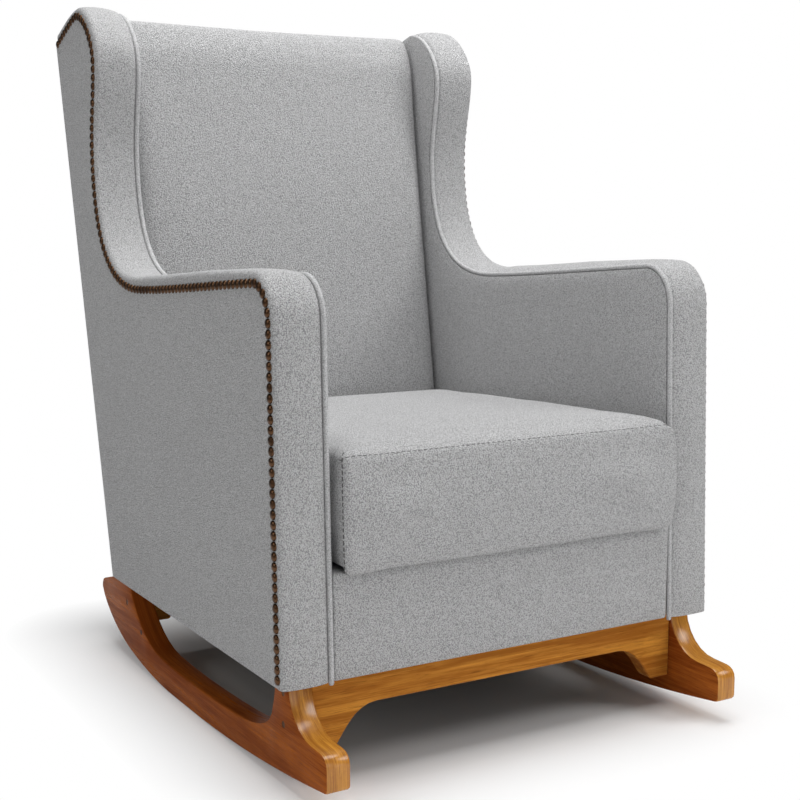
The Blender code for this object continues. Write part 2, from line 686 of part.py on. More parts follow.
def make_seat_frame():
    """Seat rails, corner blocks, zigzag springs in their clip strips, deck, apron, dust cover."""
    front = APRON_DEPTH + 4 * GAP
    half = SLAB_INNER - GAP
    front_top = seat_z(front + RAIL_DEPTH, RAIL_FLOOR)
    front_outline = [(front, 0.0), (front + RAIL_DEPTH, 0.0), (front + RAIL_DEPTH, front_top),
                     (front, seat_z(front, RAIL_FLOOR))]
    board("front_seat_rail", front_outline, -half, half, TIMBER, BOARD_EDGE)
    rear_low = (post_y(0.0), rear_y(0.0, SKIN + GAP))
    rear_top = [seat_z(y, RAIL_FLOOR) for y in (post_y(SEAT_RAIL_HEIGHT), rear_y(SEAT_RAIL_HEIGHT))]
    rear_outline = [(rear_low[0], 0.0), (rear_low[1], 0.0),
                    (rear_y(rear_top[1], SKIN + GAP), rear_top[1]), (post_y(rear_top[0]), rear_top[0])]
    board("rear_seat_rail", rear_outline, -half, half, TIMBER, BOARD_EDGE)

    post_rear = core_path()[0].x + POST_DEPTH
    rail_top = SEAT_RAIL_HEIGHT
    for side, name in ((-1, "left"), (1, "right")):
        outline = [(post_rear + GAP, 0.0), (post_y(0.0) - GAP, 0.0),
                   (post_y(rail_top) - GAP, rail_top), (post_rear + GAP, rail_top)]
        slab(name + "_seat_rail", outline, side, SLAB_INNER, SLAB_OUTER, TIMBER, BOARD_EDGE)

    front_y = front + RAIL_DEPTH + GAP
    rear_block_y = post_y(0.0) - GAP
    lift = (SEAT_RAIL_HEIGHT - BLOCK_HEIGHT) / 2
    for side, name in ((-1, "left"), (1, "right")):
        for label, y, turn in (("front", front_y, 1), ("rear", rear_block_y, -1)):
            corner = [(side * half, y), (side * (half - BLOCK_LEG), y),
                      (side * half, y + turn * BLOCK_LEG)]
            board(name + "_" + label + "_corner_block", corner, lift, lift + BLOCK_HEIGHT, TIMBER,
                  0.0, BODY, Matrix.Identity(4))

    make_springs(front)
    deck_half = ARM_INNER - GAP
    deck_rear = post_y(seat_z(BACK_FOOT_Y, DECK_DEPTH)) - STRAP_DEPTH - 3 * GAP
    box("seat_deck", (-deck_half, front, -DECK_DEPTH), (deck_half, deck_rear, 0.0), DECK_FELT,
        COVER_EDGE, SEAT)
    apron_rear = APRON_DEPTH + GAP
    box("apron_cover", (-deck_half, GAP, 0.0), (deck_half, apron_rear, seat_z(apron_rear, 2 * GAP)),
        FABRIC, COVER_EDGE)
    sheet_front = FRONT_CROSS_Y + CROSS_RAIL_DEPTH + 2 * GAP
    box("dust_cover", (-half, sheet_front, -DUST_SHEET - GAP),
        (half, REAR_CROSS_Y - 2 * GAP, -GAP), DUST_CLOTH)


def make_springs(front):
    """Zigzag springs from the front rail to the rear rail, their ends held by clip strips."""
    wire_z = -DECK_DEPTH - GAP - SPRING_WIRE / 2
    start = front + 0.35 * RAIL_DEPTH
    end = post_y(SEAT_RAIL_HEIGHT) + 0.4 * BACK_POST_FOOT
    pitch = (end - start) / (SPRING_BENDS + 2)
    spread = (ARM_INNER - SPRING_WIDTH) * 2 / SPRING_COUNT
    centres = [(index - (SPRING_COUNT - 1) / 2) * spread for index in range(SPRING_COUNT)]
    for number, centre in enumerate(centres, start=1):
        route = [(centre, start), (centre, start + 0.8 * pitch)]
        for turn in range(SPRING_BENDS):
            away = SPRING_WIDTH / 2 if turn % 2 else -SPRING_WIDTH / 2
            y = start + (turn + 1) * pitch
            route.append((centre + away, y + 0.12 * pitch))
            route.append((centre + away, y + 0.88 * pitch))
        route += [(centre, end - 0.8 * pitch), (centre, end)]
        name = "seat_spring_" + str(number)
        curve = flat_curve(name, route, closed=False)
        curve.dimensions = '3D'
        curve.bevel_depth = SPRING_WIRE / 2
        curve.bevel_resolution = 1
        curve.use_fill_caps = True
        level = Matrix.Translation((0.0, 0.0, wire_z))
        spring = solid_from_curve(curve, name, level, SPRING_STEEL, SEAT)
        smooth(spring.data, 60.0)

    inner = SPRING_WIRE / 2 + GAP
    outer = inner + CLIP_SHEET
    strip_half = ARM_INNER - GAP
    for name, y, turn in (("front_spring_clip", start - GAP, 1), ("rear_spring_clip", end + GAP, -1)):
        profile = [(CLIP_LENGTH, -outer), (-outer, -outer), (-outer, inner), (-inner, inner),
                   (-inner, -inner), (CLIP_LENGTH, -inner)]
        outline = [(y + turn * out, wire_z + up) for out, up in profile]
        board(name, outline, -strip_half, strip_half, STEEL, 0.0, SEAT)


def band_section():
    """Cross-section of the facing band: flat inside, crowned outside."""
    inner = ARM_INNER + 2 * PIPING_RADIUS + 3 * GAP
    outer = SLAB_OUTER
    steps = 6
    crown = [(BAND_CROWN * math.sin(math.pi * step / steps) ** 0.8,
              inner + (outer - inner) * (0.5 - 0.5 * math.cos(math.pi * step / steps)))
             for step in range(steps + 1)]
    return crown + [(-BAND_DEPTH, outer), (-BAND_DEPTH, inner)]


def nail_section():
    """Half-round nail strip lying on the side panel."""
    steps = 4
    return [(NAIL_WIDTH / 2 * math.cos(math.pi * step / steps),
             BODY_HALF_WIDTH + GAP + NAIL_RISE * math.sin(math.pi * step / steps))
            for step in range(steps + 1)]


def make_arm(side, name, hanger_bores):
    """One arm with its wing: timber inside, then the pads, panels, band, welt and nails."""
    core = core_path()
    post_front = core[0].x
    post_rear = post_front + POST_DEPTH
    lean = ARM_LEAN / CORNER_HEIGHT
    head_y = post_front + lean * CORNER_HEIGHT
    post_outline = [(post_front, 0.0), (post_rear, 0.0), (post_rear, arm_rail_floor(post_rear) - GAP),
                    (head_y, arm_rail_floor(head_y) - GAP)]
    post = slab(name + "_arm_post", post_outline, side, SLAB_INNER, SLAB_OUTER, TIMBER, BOARD_EDGE)
    cut(post, hanger_bores)

    arm_top = core[path_part("corner", "arm")]
    arm_top = [point for point in arm_top if point.x <= NOTCH_Y - GAP]
    arm_outline = [(arm_top[0].x, arm_rail_floor(arm_top[0].x))] + arm_top
    arm_outline += [(NOTCH_Y - GAP, core[path_part("sweep", "sweep")][0].y),
                    (NOTCH_Y - GAP, arm_rail_floor(NOTCH_Y - GAP))]
    slab(name + "_arm_rail", arm_outline, side, SLAB_INNER, SLAB_OUTER, TIMBER, BOARD_EDGE)

    wing_top = [point for point in up_to_post(core[path_part("sweep", "rear")]) if point.x > NOTCH_Y]
    foot = ARM_HEIGHT - ARM_FALL - WING_BOARD_FOOT
    wing_outline = [(NOTCH_Y, foot), (NOTCH_Y, wing_top[0].y)] + wing_top + [(post_y(foot) - GAP, foot)]
    slab(name + "_wing_board", wing_outline, side, SLAB_INNER, SLAB_INNER + WING_BOARD, TIMBER)

    post_head = [point for point in core[path_part("rear", "rear")] if point.x > post_y(point.y)]
    crossing = up_to_post(core[path_part("sweep", "rear")])[-1]
    last = core[-1].y
    back_outline = [(post_y(0.0), 0.0), (post_y(crossing.y), crossing.y)] + post_head[:-1]
    back_outline += [(rear_y(last, SKIN + GAP), last), (rear_y(0.0, SKIN + GAP), 0.0)]
    back = slab(name + "_back_post", back_outline, side, SLAB_INNER, SLAB_OUTER, TIMBER)
    cut(back, hanger_bores)

    panel = ended(offset(PATH, PANEL_INSET), GAP, SKIN + GAP)
    panel.append(Vector((rear_y(GAP, SKIN + GAP), GAP)))
    slab(name + "_outer_side_panel", panel, side, BODY_HALF_WIDTH - SKIN, BODY_HALF_WIDTH, FABRIC)

    pad_edge = offset(PATH, PIPING_RADIUS + 2 * GAP)
    pad = up_to_post(pad_edge[1:])
    under = RAIL_FLOOR - 2 * GAP
    pad_front = PIPING_RADIUS + 2 * GAP + lean * SEAT_HEIGHT
    low_rear = post_y(seat_z(post_y(SEAT_HEIGHT), under)) - GAP
    pad = [Vector((pad_front, seat_z(pad_front, under)))] + pad
    pad.append(Vector((low_rear, seat_z(low_rear, under))))
    slab(name + "_inner_side_pad", pad, side, ARM_INNER, ARM_INNER + PAD_DEPTH, FABRIC)

    band_path = ended(PATH, GAP, SKIN + 2 * GAP)
    swept(name + "_facing_band", band_path, band_section(), side, BODY_HALF_WIDTH, FABRIC)
    welt_x = ARM_INNER + PIPING_RADIUS + GAP
    welt_section = [(PIPING_RADIUS * math.cos(turn * math.pi / 4),
                     welt_x + PIPING_RADIUS * math.sin(turn * math.pi / 4)) for turn in range(8)]
    swept(name + "_inner_piping", band_path, welt_section, side, welt_x, WELT)
    nail_path = ended(offset(PATH, NAIL_INSET), NAIL_FOOT, SKIN + NAIL_WIDTH / 2)
    swept(name + "_nail_trim", nail_path, nail_section(), side, BODY_HALF_WIDTH, BRONZE)


def back_rail(name, low, high):
    half = SLAB_INNER - GAP
    inset = SKIN + GAP
    outline = [(post_y(low), low), (rear_y(low, inset), low), (rear_y(high, inset), high),
               (post_y(high), high)]
    return board(name, outline, -half, half, TIMBER, BOARD_EDGE)


def webbing(low, high):
    """Crossed straps on the front of the back rails, sewn where they cross."""
    half = ARM_INNER - STRAP_MARGIN
    length = (high - low) * math.hypot(1.0, (post_y(high) - post_y(low)) / (high - low))
    name = "back_webbing"
    curve = flat_curve(name, [(-half, 0.0), (half, 0.0), (half, length), (-half, length)])
    curve.fill_mode = 'BOTH'
    curve.extrude = STRAP_DEPTH / 2
    gap_x = (2 * half - STRAP_COLUMNS * STRAP_WIDTH) / (STRAP_COLUMNS - 1)
    gap_z = (length - STRAP_ROWS * STRAP_WIDTH) / (STRAP_ROWS - 1)
    for column in range(STRAP_COLUMNS - 1):
        for row in range(STRAP_ROWS - 1):
            x = -half + STRAP_WIDTH + column * (gap_x + STRAP_WIDTH)
            z = STRAP_WIDTH + row * (gap_z + STRAP_WIDTH)
            hole = curve.splines.new('POLY')
            hole.points.add(3)
            corners = ((x, z), (x + gap_x, z), (x + gap_x, z + gap_z), (x, z + gap_z))
            for knot, (across, up) in zip(hole.points, corners):
                knot.co = (across, up, 0.0, 1.0)
            hole.use_cyclic_u = True
    lean = math.atan2(post_y(high) - post_y(low), high - low)
    foot = Matrix.Translation((0.0, post_y(low) - GAP - STRAP_DEPTH / 2 / math.cos(lean), low))
    matrix = foot @ Matrix.Rotation(math.pi / 2 - lean, 4, 'X')
    solid_from_curve(curve, name, matrix, STRAP_WEB, BODY)


def make_back():
    """Back rails, webbing, the crowned inner pad, the top cover and the outer panel."""
    top_rail_top = BACK_TOP_HEIGHT - TOP_COVER_DEPTH
    back_rail("back_top_rail", top_rail_top - BACK_RAIL_HEIGHT, top_rail_top)
    middle = ARM_HEIGHT - MIDDLE_RAIL_DROP
    back_rail("back_middle_rail", middle, middle + BACK_RAIL_HEIGHT)
    tack_low = seat_z(post_y(SEAT_RAIL_HEIGHT), RAIL_FLOOR) + CLIP_FLOOR
    back_rail("back_lower_rail", tack_low + GAP, tack_low + BACK_RAIL_HEIGHT)

    webbing(tack_low + STRAP_MARGIN, top_rail_top - STRAP_MARGIN)

    pad_half = ARM_INNER - GAP
    pad_low = seat_z(face_y(SEAT_HEIGHT)) + 2 * GAP
    half = (pad_half, 1.0, (BACK_PAD_TOP - pad_low) / 2)
    centre = (BACK_PAD_TOP + pad_low) / 2

    def pad_point(point, spread):
        z = centre + point.z
        front = face_y(z)
        rear = post_y(z) - STRAP_DEPTH - 2 * GAP
        depth = rear - front
        share = 0.5 + 0.5 * spread.y
        rounding = half[0] - abs(point.x), half[2] - abs(point.z)
        edge = 0.0
        for room in rounding:
            if room < BACK_PAD_EDGE:
                edge += BACK_PAD_EDGE - math.sqrt(max(0.0, BACK_PAD_EDGE ** 2
                                                      - (BACK_PAD_EDGE - room) ** 2))
        edge = min(edge, 0.8 * BACK_PAD_EDGE)
        bulge = BACK_PAD_CROWN * (1.0 - spread.x ** 2) * math.cos(point.z / half[2] * math.pi / 2) ** 2
        over = max(0.0, (spread.z - 0.55) / 0.45)
        shift = edge - bulge + BACK_PAD_ROLL * over ** 2
        return Vector((point.x, front + depth * share + shift * (1.0 - share), z))

    soft_block("inner_back_pad", 10, half, BACK_PAD_ROUND, pad_point, FABRIC, BODY)

    cover_half = ARM_INNER - GAP
    cover_low = top_rail_top + GAP
    cover_rear = BACK_TOP_HEIGHT - 0.25 * TOP_COVER_DEPTH
    cover_front = BACK_PAD_TOP - 0.6 * TOP_COVER_DEPTH
    cover = [(post_y(cover_low), cover_low), (rear_y(cover_low, SKIN + GAP), cover_low),
             (rear_y(cover_rear, SKIN + GAP), cover_rear), (post_y(cover_front), cover_front)]
    board("back_top_cover", cover, -cover_half, cover_half, FABRIC, COVER_EDGE)

    wide = BODY_HALF_WIDTH - GAP
    outline = [(rear_y(GAP, SKIN), GAP), (rear_y(GAP), GAP), (rear_y(BACK_PANEL_TOP), BACK_PANEL_TOP),
               (rear_y(BACK_PANEL_TOP, SKIN), BACK_PANEL_TOP)]
    board("outer_back_panel", outline, -wide, wide, FABRIC, PANEL_EDGE)


def make_cushion():
    """The loose box cushion, crowned on top, with its sides drawn in between the corners."""
    width = ARM_INNER - SLACK
    rear = face_y(seat_z(BACK_FOOT_Y)) - 2 * SLACK
    length = rear + CUSHION_OVERHANG
    half = (width, length / 2, CUSHION_HEIGHT / 2)
    middle = Vector((0.0, rear - length / 2, CUSHION_HEIGHT / 2 + GAP))

    def cushion_point(point, spread):
        across = 1.0 - spread.x ** 2
        along = 1.0 - spread.y ** 2
        upright = 1.0 - spread.z ** 2
        lift = CUSHION_CROWN * across * along if spread.z > 0.0 else 0.0
        lift *= max(spread.z, 0.0)
        x = point.x - math.copysign(CUSHION_DRAW_IN * along * abs(spread.x) ** 4, point.x)
        y = point.y
        if spread.y < 0.0:
            y -= (CUSHION_BULGE * across * upright) * spread.y ** 4
        return Vector((x, y, point.z + lift)) + middle

    soft_block("seat_cushion", 9, half, CUSHION_EDGE, cushion_point, FABRIC, SEAT)


def build_chair():
    hanger_bores = make_base()
    make_seat_frame()
    make_arm(-1, "left", hanger_bores)
    make_arm(1, "right", hanger_bores)
    make_back()
    make_cushion()


build_chair()
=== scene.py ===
"""Looks of the nursing rocking chair: fabric, welts, nails, stitches and wood on its frame.

Metres, +Z up, +Y towards the back. Side views are (y, z), with y counted back from the
upholstery's front edge and z up from its underside, as the chair's joiner measures them.
"""

import json
import math

import bmesh
import bpy
import numpy as np
from mathutils import Matrix, Vector
from mathutils.bvhtree import BVHTree
from mathutils.geometry import interpolate_bezier


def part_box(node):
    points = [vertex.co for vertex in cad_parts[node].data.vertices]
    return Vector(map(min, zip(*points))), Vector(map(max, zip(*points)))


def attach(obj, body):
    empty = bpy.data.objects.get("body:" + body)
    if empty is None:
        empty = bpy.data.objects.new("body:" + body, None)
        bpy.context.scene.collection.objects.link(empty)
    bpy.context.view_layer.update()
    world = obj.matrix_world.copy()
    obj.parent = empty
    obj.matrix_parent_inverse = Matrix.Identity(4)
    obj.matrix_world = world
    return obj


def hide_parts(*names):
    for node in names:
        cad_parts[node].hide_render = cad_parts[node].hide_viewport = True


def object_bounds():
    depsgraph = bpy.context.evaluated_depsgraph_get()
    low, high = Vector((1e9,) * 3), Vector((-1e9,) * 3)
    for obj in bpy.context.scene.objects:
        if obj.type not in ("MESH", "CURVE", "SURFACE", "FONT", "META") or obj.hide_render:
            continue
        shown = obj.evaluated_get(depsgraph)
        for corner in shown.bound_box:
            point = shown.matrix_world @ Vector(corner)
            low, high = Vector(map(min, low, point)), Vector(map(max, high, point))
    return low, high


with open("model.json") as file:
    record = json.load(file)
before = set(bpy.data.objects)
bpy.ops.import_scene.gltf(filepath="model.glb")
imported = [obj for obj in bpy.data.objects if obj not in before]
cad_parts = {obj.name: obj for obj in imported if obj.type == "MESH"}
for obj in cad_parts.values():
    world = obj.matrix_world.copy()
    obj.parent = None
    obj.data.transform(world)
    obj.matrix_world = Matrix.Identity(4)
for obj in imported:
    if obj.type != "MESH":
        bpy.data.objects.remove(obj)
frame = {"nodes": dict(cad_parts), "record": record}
CAD_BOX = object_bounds()

# Where the upholstery's front foot is in the frame
TOE_REACH = 0.0855
BASE_HEIGHT = 0.138
LEG_FRONT_Y = 0.0165
FRONT_Y = CAD_BOX[0][1] + TOE_REACH

SIDES = ((-1, "left"), (1, "right"))

# Sizes of the upholstery that the covers follow
ARM_OUTER = 0.340
ARM_INNER = 0.268
ARM_HEIGHT = 0.4955
ARM_LEAN = 0.0155
ARM_CORNER = 0.050
ARM_FALL = 0.0285
NOTCH_Y = 0.460
WAIST = (0.648, 0.665)
WING_REACH = (0.632, 0.795)
WING_TOP = (0.716, 0.880)
BACK_TOP = (0.827, 0.843)
BACK_FOOT_Y = 0.616
BACK_TOP_FALL = 23.0
BACK_POST_FOOT = 0.030
BACK_POST_TOP = 0.055
BACK_FACE_FOOT_Y = 0.5705
BACK_FACE_SLOPE = math.tan(math.radians(8.9))
BACK_PAD_TOP = 0.8770
SEAT_HEIGHT = 0.1368
SEAT_TILT = math.radians(2.5)
SEAT_SLOPE = math.tan(SEAT_TILT)
WELT_RADIUS = 0.0035
WELT_RISE = 0.0012          # the cord stands out of the seam by this much
WELT_SIDES = 12
NAIL_PITCH = 0.0127
NAIL_RADIUS = 0.0062
NAIL_INSET = 0.0072
FABRIC_TURN = 0.0075        # the band's fabric turns over the arm's corner with this radius

# The photo's camera: its lens in millimetres, its turn in degrees
CAMERA_PLACE = (-1.0327, -1.8351, 0.7176)
CAMERA_TURN = (82.07, -0.066, -30.41)
CAMERA_SENSOR = 36.0
CAMERA_LENS = 62.5
CAMERA_CLIP = (0.05, 60.0)

# Softboxes: place, where each points, (width, height) and power in watts
SOFTBOXES = {
    "key": ((2.3, -2.1, 2.5), (0.0, 0.0, 0.45), (1.5, 1.5), 46.0),
    "front_fill": ((-0.6, -3.2, 1.2), (0.0, 0.0, 0.45), (2.0, 1.6), 14.0),
    "top": ((0.1, 0.0, 3.0), (0.0, 0.0, 0.4), (2.2, 2.2), 89.0),
    "left_fill": ((-3.0, 0.1, 1.9), (0.0, 0.1, 0.5), (1.8, 1.8), 20.0),
    "low_front": ((0.85, -2.75, 0.36), (-0.2, -0.3, 0.12), (1.0, 0.66), 4.0),
}
ROOM_LEVEL = 0.11           # light from all round
WHITE = (1.0, 1.0, 1.0)

# The floor is painted dark grey under the seat, a painted shade that deepens the shadow there; it
# is pale in the chair's shadow and white further out
FLOOR_HALF = 9.0
PAINTED_SHADE_HALF = (0.20, 0.26, 0.0)      # half sizes of the dark part
PAINTED_SHADE_FADE = 0.14
FLOOR_SHADED = (0.28, 0.40, 0.0)     # half sizes of the pale part
FLOOR_FADE = 0.19
FLOOR_PAINTED_SHADE = (0.42, 0.42, 0.42)
FLOOR_PALE = (0.88, 0.88, 0.88)

# Looks of wool and wood. A contrast is (slope, level) of a tone from its height or noise.
NUB_WANDER_SCALE = 260.0
NUB_WANDER = 0.0024
CURL_TO_NUB = 0.8           # curls are this much coarser than the nubs
CLUMP_SCALE = 150.0
BLOTCH_SCALE = 14.0
BLOTCH = 0.10
WOOL_PIT_SHADE_CONTRAST = (3.2, -2.35)
GRAIN_STRETCH = (1.0, 0.035, 1.0)
GRAIN_CONTRAST = (2.2, -2.15)
PORE_STOPS = (0.62, 0.70)   # noise between these turns into pores
PORE_COLOUR = (0.08, 0.022, 0.006)
WEAR_CONTRAST = (4.0, -2.1)
LACQUER = 0.65              # weight of the lacquer's coat on a board's edges
ROW_SEED = 7                # of the small tilts of nails and stitches


# Camera, light and stage

def new_object(name, data):
    made = bpy.data.objects.new(name, data)
    bpy.context.scene.collection.objects.link(made)
    return made


def set_camera():
    lens = bpy.data.cameras.new("photo_camera")
    lens.sensor_fit = 'HORIZONTAL'
    lens.sensor_width = CAMERA_SENSOR
    lens.lens = CAMERA_LENS
    lens.clip_start, lens.clip_end = CAMERA_CLIP
    camera = new_object("photo_camera", lens)
    camera.location = CAMERA_PLACE
    camera.rotation_euler = [math.radians(angle) for angle in CAMERA_TURN]
    bpy.context.scene.camera = camera


def softbox(name, place, aim, size, power):
    lamp = bpy.data.lights.new(name, 'AREA')
    lamp.shape = 'RECTANGLE'
    lamp.size, lamp.size_y = size
    lamp.energy = power
    box = new_object(name, lamp)
    box.location = place
    box.rotation_euler = (Vector(aim) - Vector(place)).to_track_quat('-Z', 'Y').to_euler()


def set_light():
    """Softboxes and a dim room, which is plain white to the camera."""
    world = bpy.data.worlds.new("studio")
    bpy.context.scene.world = world
    world.use_nodes = True
    tree = world.node_tree
    tree.nodes.clear()
    ambient = add(tree, 'ShaderNodeBackground', {"Color": WHITE, "Strength": ROOM_LEVEL})
    seen = add(tree, 'ShaderNodeBackground', {"Color": WHITE})
    path = add(tree, 'ShaderNodeLightPath')
    both = add(tree, 'ShaderNodeMixShader', {0: path["Is Camera Ray"],
                                             1: ambient["Background"],
                                             2: seen["Background"]})
    add(tree, 'ShaderNodeOutputWorld', {"Surface": both["Shader"]})
    for name, values in SOFTBOXES.items():
        softbox(name, *values)


def set_stage(material):
    shape = bmesh.new()
    bmesh.ops.create_grid(shape, x_segments=2, y_segments=2, size=FLOOR_HALF)
    mesh = mesh_of(shape, "studio_floor")
    mesh.materials.append(material)
    floor = new_object("studio_floor", mesh)


# Nodes

def feed(tree, node, values):
    """Sets a node's inputs, by label or place: an output is linked, and the rest are values."""
    for label, value in values.items():
        socket = node.inputs[label]
        if isinstance(value, bpy.types.NodeSocket):
            tree.links.new(value, socket)
        elif socket.type == 'RGBA':
            socket.default_value = (*value, 1.0)
        else:
            socket.default_value = value


def add(tree, kind, values=None, **settings):
    """The outputs of a new node of this kind, with these inputs and settings."""
    node = tree.nodes.new(kind)
    for label, value in settings.items():
        setattr(node, label, value)
    feed(tree, node, values or {})
    return node.outputs


def new_group(name, inputs, outputs, kind='ShaderNodeTree'):
    """An empty group with these sockets, given as label: kind."""
    tree = bpy.data.node_groups.new(name, kind)
    for side, sockets in (('INPUT', inputs), ('OUTPUT', outputs)):
        for label, socket in sockets.items():
            tree.interface.new_socket(label, in_out=side, socket_type='NodeSocket' + socket)
    return tree, add(tree, 'NodeGroupInput'), tree.nodes.new('NodeGroupOutput')


def math_node(tree, operation, *values, clamp=False):
    return add(tree, 'ShaderNodeMath', dict(enumerate(values)), operation=operation,
               use_clamp=clamp)[0]


def vector_math(tree, operation, *values, scale=None):
    inputs = dict(enumerate(values))
    if scale is not None:
        inputs["Scale"] = scale
    return add(tree, 'ShaderNodeVectorMath', inputs, operation=operation)


def weighted(tree, *terms, clamp=False):
    """The sum of terms, each (value, weight). Only the whole sum is clamped."""
    result = 0.0
    for count, (value, weight) in enumerate(terms, 1):
        result = math_node(tree, 'MULTIPLY_ADD', value, weight, result,
                           clamp=clamp and count == len(terms))
    return result


def mix_colour(tree, factor, first, second):
    return add(tree, 'ShaderNodeMix', {0: factor, 6: first, 7: second}, data_type='RGBA')[2]


def noise_node(tree, vector, scale, detail=2.0, roughness=0.5, distortion=0.0):
    return add(tree, 'ShaderNodeTexNoise', {"Vector": vector, "Scale": scale, "Detail": detail,
                                            "Roughness": roughness, "Distortion": distortion})


def noise(tree, *settings):
    return noise_node(tree, *settings)["Fac"]


def object_vector(tree):
    return add(tree, 'ShaderNodeTexCoord')["Object"]


def bump(tree, shader, height, strength, distance):
    relief = add(tree, 'ShaderNodeBump', {"Height": height, "Strength": strength,
                                          "Distance": distance})
    feed(tree, shader, {"Normal": relief["Normal"]})


# Shader groups. Scales of noise are waves to a metre.

def boucle_group():
    """Looped wool cloth: small curled nubs with dark pits between them, their darkness partly the
    yarn's own and partly painted shade, and a few soft blotches.
    """
    tree, enter, leave = new_group(
        "boucle_cloth",
        {"Vector": 'Vector', "Nub Scale": 'Float', "Light": 'Color', "Shade": 'Color'},
        {"Color": 'Color', "Height": 'Float', "Roughness": 'Float'})
    vector, nub_scale = enter["Vector"], enter["Nub Scale"]
    wander = noise_node(tree, vector, NUB_WANDER_SCALE, 1.0)
    shift = vector_math(tree, 'SCALE', wander["Color"], scale=NUB_WANDER)
    moved = vector_math(tree, 'ADD', vector, shift[0])
    cells = add(tree, 'ShaderNodeTexVoronoi', {"Vector": moved[0], "Scale": nub_scale},
                feature='F1')
    nub = math_node(tree, 'SUBTRACT', 1.0, cells["Distance"], clamp=True)
    curl = noise(tree, vector, math_node(tree, 'MULTIPLY', nub_scale, CURL_TO_NUB), 3.0, 0.65)
    clump = noise(tree, vector, CLUMP_SCALE)
    height = weighted(tree, (nub, 0.8), (curl, 0.9), (clump, 0.15))
    # the pits' dark tone is partly painted shade standing in for the loops' relief
    tone = math_node(tree, 'MULTIPLY_ADD', height, *WOOL_PIT_SHADE_CONTRAST, clamp=True)
    blotch = math_node(tree, 'SUBTRACT', noise(tree, vector, BLOTCH_SCALE, 4.0, 0.6), 0.5)
    blotch = math_node(tree, 'MULTIPLY', blotch, BLOTCH)
    tone = math_node(tree, 'ADD', tone, blotch, clamp=True)
    feed(tree, leave, {"Color": mix_colour(tree, tone, enter["Shade"], enter["Light"]),
                       "Height": height,
                       "Roughness": math_node(tree, 'MULTIPLY_ADD', tone, -0.08, 0.97)})
    return tree


def grain_group():
    """Straight wood grain along the Y of its vector: fibres, streaks, faint figure and pores."""
    tree, enter, leave = new_group(
        "wood_grain",
        {"Vector": 'Vector', "Early": 'Color', "Late": 'Color', "Figure": 'Float',
         "Pores": 'Float'},
        {"Color": 'Color', "Height": 'Float', "Roughness": 'Float'})
    vector = add(tree, 'ShaderNodeMapping', {"Vector": enter["Vector"], "Scale": GRAIN_STRETCH},
                 vector_type='POINT')["Vector"]
    fibre = noise(tree, vector, 620.0, 3.0, 0.65)
    streak = noise(tree, vector, 190.0, 2.0, 0.55)
    band = noise(tree, vector, 46.0, 2.0, 0.5, 0.4)
    figure = noise(tree, enter["Vector"], 11.0)
    tone = weighted(tree, (fibre, 0.7), (streak, 0.75), (band, 0.8), (figure, enter["Figure"]))
    tone = math_node(tree, 'MULTIPLY_ADD', tone, *GRAIN_CONTRAST, clamp=True)
    colour = mix_colour(tree, tone, enter["Early"], enter["Late"])
    pore = add(tree, 'ShaderNodeValToRGB', {"Fac": noise(tree, vector, 1100.0, 1.0)})
    for stop, place in zip(pore["Color"].node.color_ramp.elements, PORE_STOPS):
        stop.position = place
    pores = math_node(tree, 'MULTIPLY', pore["Color"], enter["Pores"])
    feed(tree, leave, {"Color": mix_colour(tree, pores, colour, PORE_COLOUR),
                       "Height": weighted(tree, (fibre, 0.4), (pores, -1.0)),
                       "Roughness": math_node(tree, 'MULTIPLY_ADD', tone, 0.10, 0.24)})
    return tree


def wear_group():
    """A mask of rubbed spots and dust that gathers in patches."""
    tree, enter, leave = new_group("handling_wear", {"Vector": 'Vector', "Amount": 'Float'},
                                   {"Mask": 'Float'})
    patches = noise(tree, enter["Vector"], 22.0, 5.0, 0.65)
    specks = noise(tree, enter["Vector"], 260.0, 2.0, 0.6)
    mask = math_node(tree, 'MULTIPLY_ADD', weighted(tree, (patches, 0.8), (specks, 0.35)),
                     *WEAR_CONTRAST, clamp=True)
    feed(tree, leave, {"Mask": math_node(tree, 'MULTIPLY', mask, enter["Amount"])})
    return tree


GROUPS = {"boucle": boucle_group(), "grain": grain_group(), "wear": wear_group()}


# Materials

def new_material(name):
    material = bpy.data.materials.new(name)
    material.use_nodes = True
    tree = material.node_tree
    return material, tree, tree.nodes["Principled BSDF"]


def use_group(tree, key, vector, **values):
    """The outputs of a new node of a group."""
    labels = {label.replace("_", " "): value for label, value in values.items()}
    return add(tree, 'ShaderNodeGroup', {"Vector": vector, **labels}, node_tree=GROUPS[key])


def cloth_material(name, light, shade, nub, depth):
    """Looped wool with this many nubs to a metre, standing out by about the depth."""
    material, tree, shader = new_material(name)
    cloth = use_group(tree, "boucle", object_vector(tree), Nub_Scale=nub, Light=light, Shade=shade)
    feed(tree, shader, {"Base Color": cloth["Color"], "Roughness": cloth["Roughness"],
                        "Specular IOR Level": 0.12, "Sheen Weight": 0.12, "Sheen Roughness": 0.6})
    bump(tree, shader, cloth["Height"], 1.0, depth)
    return material


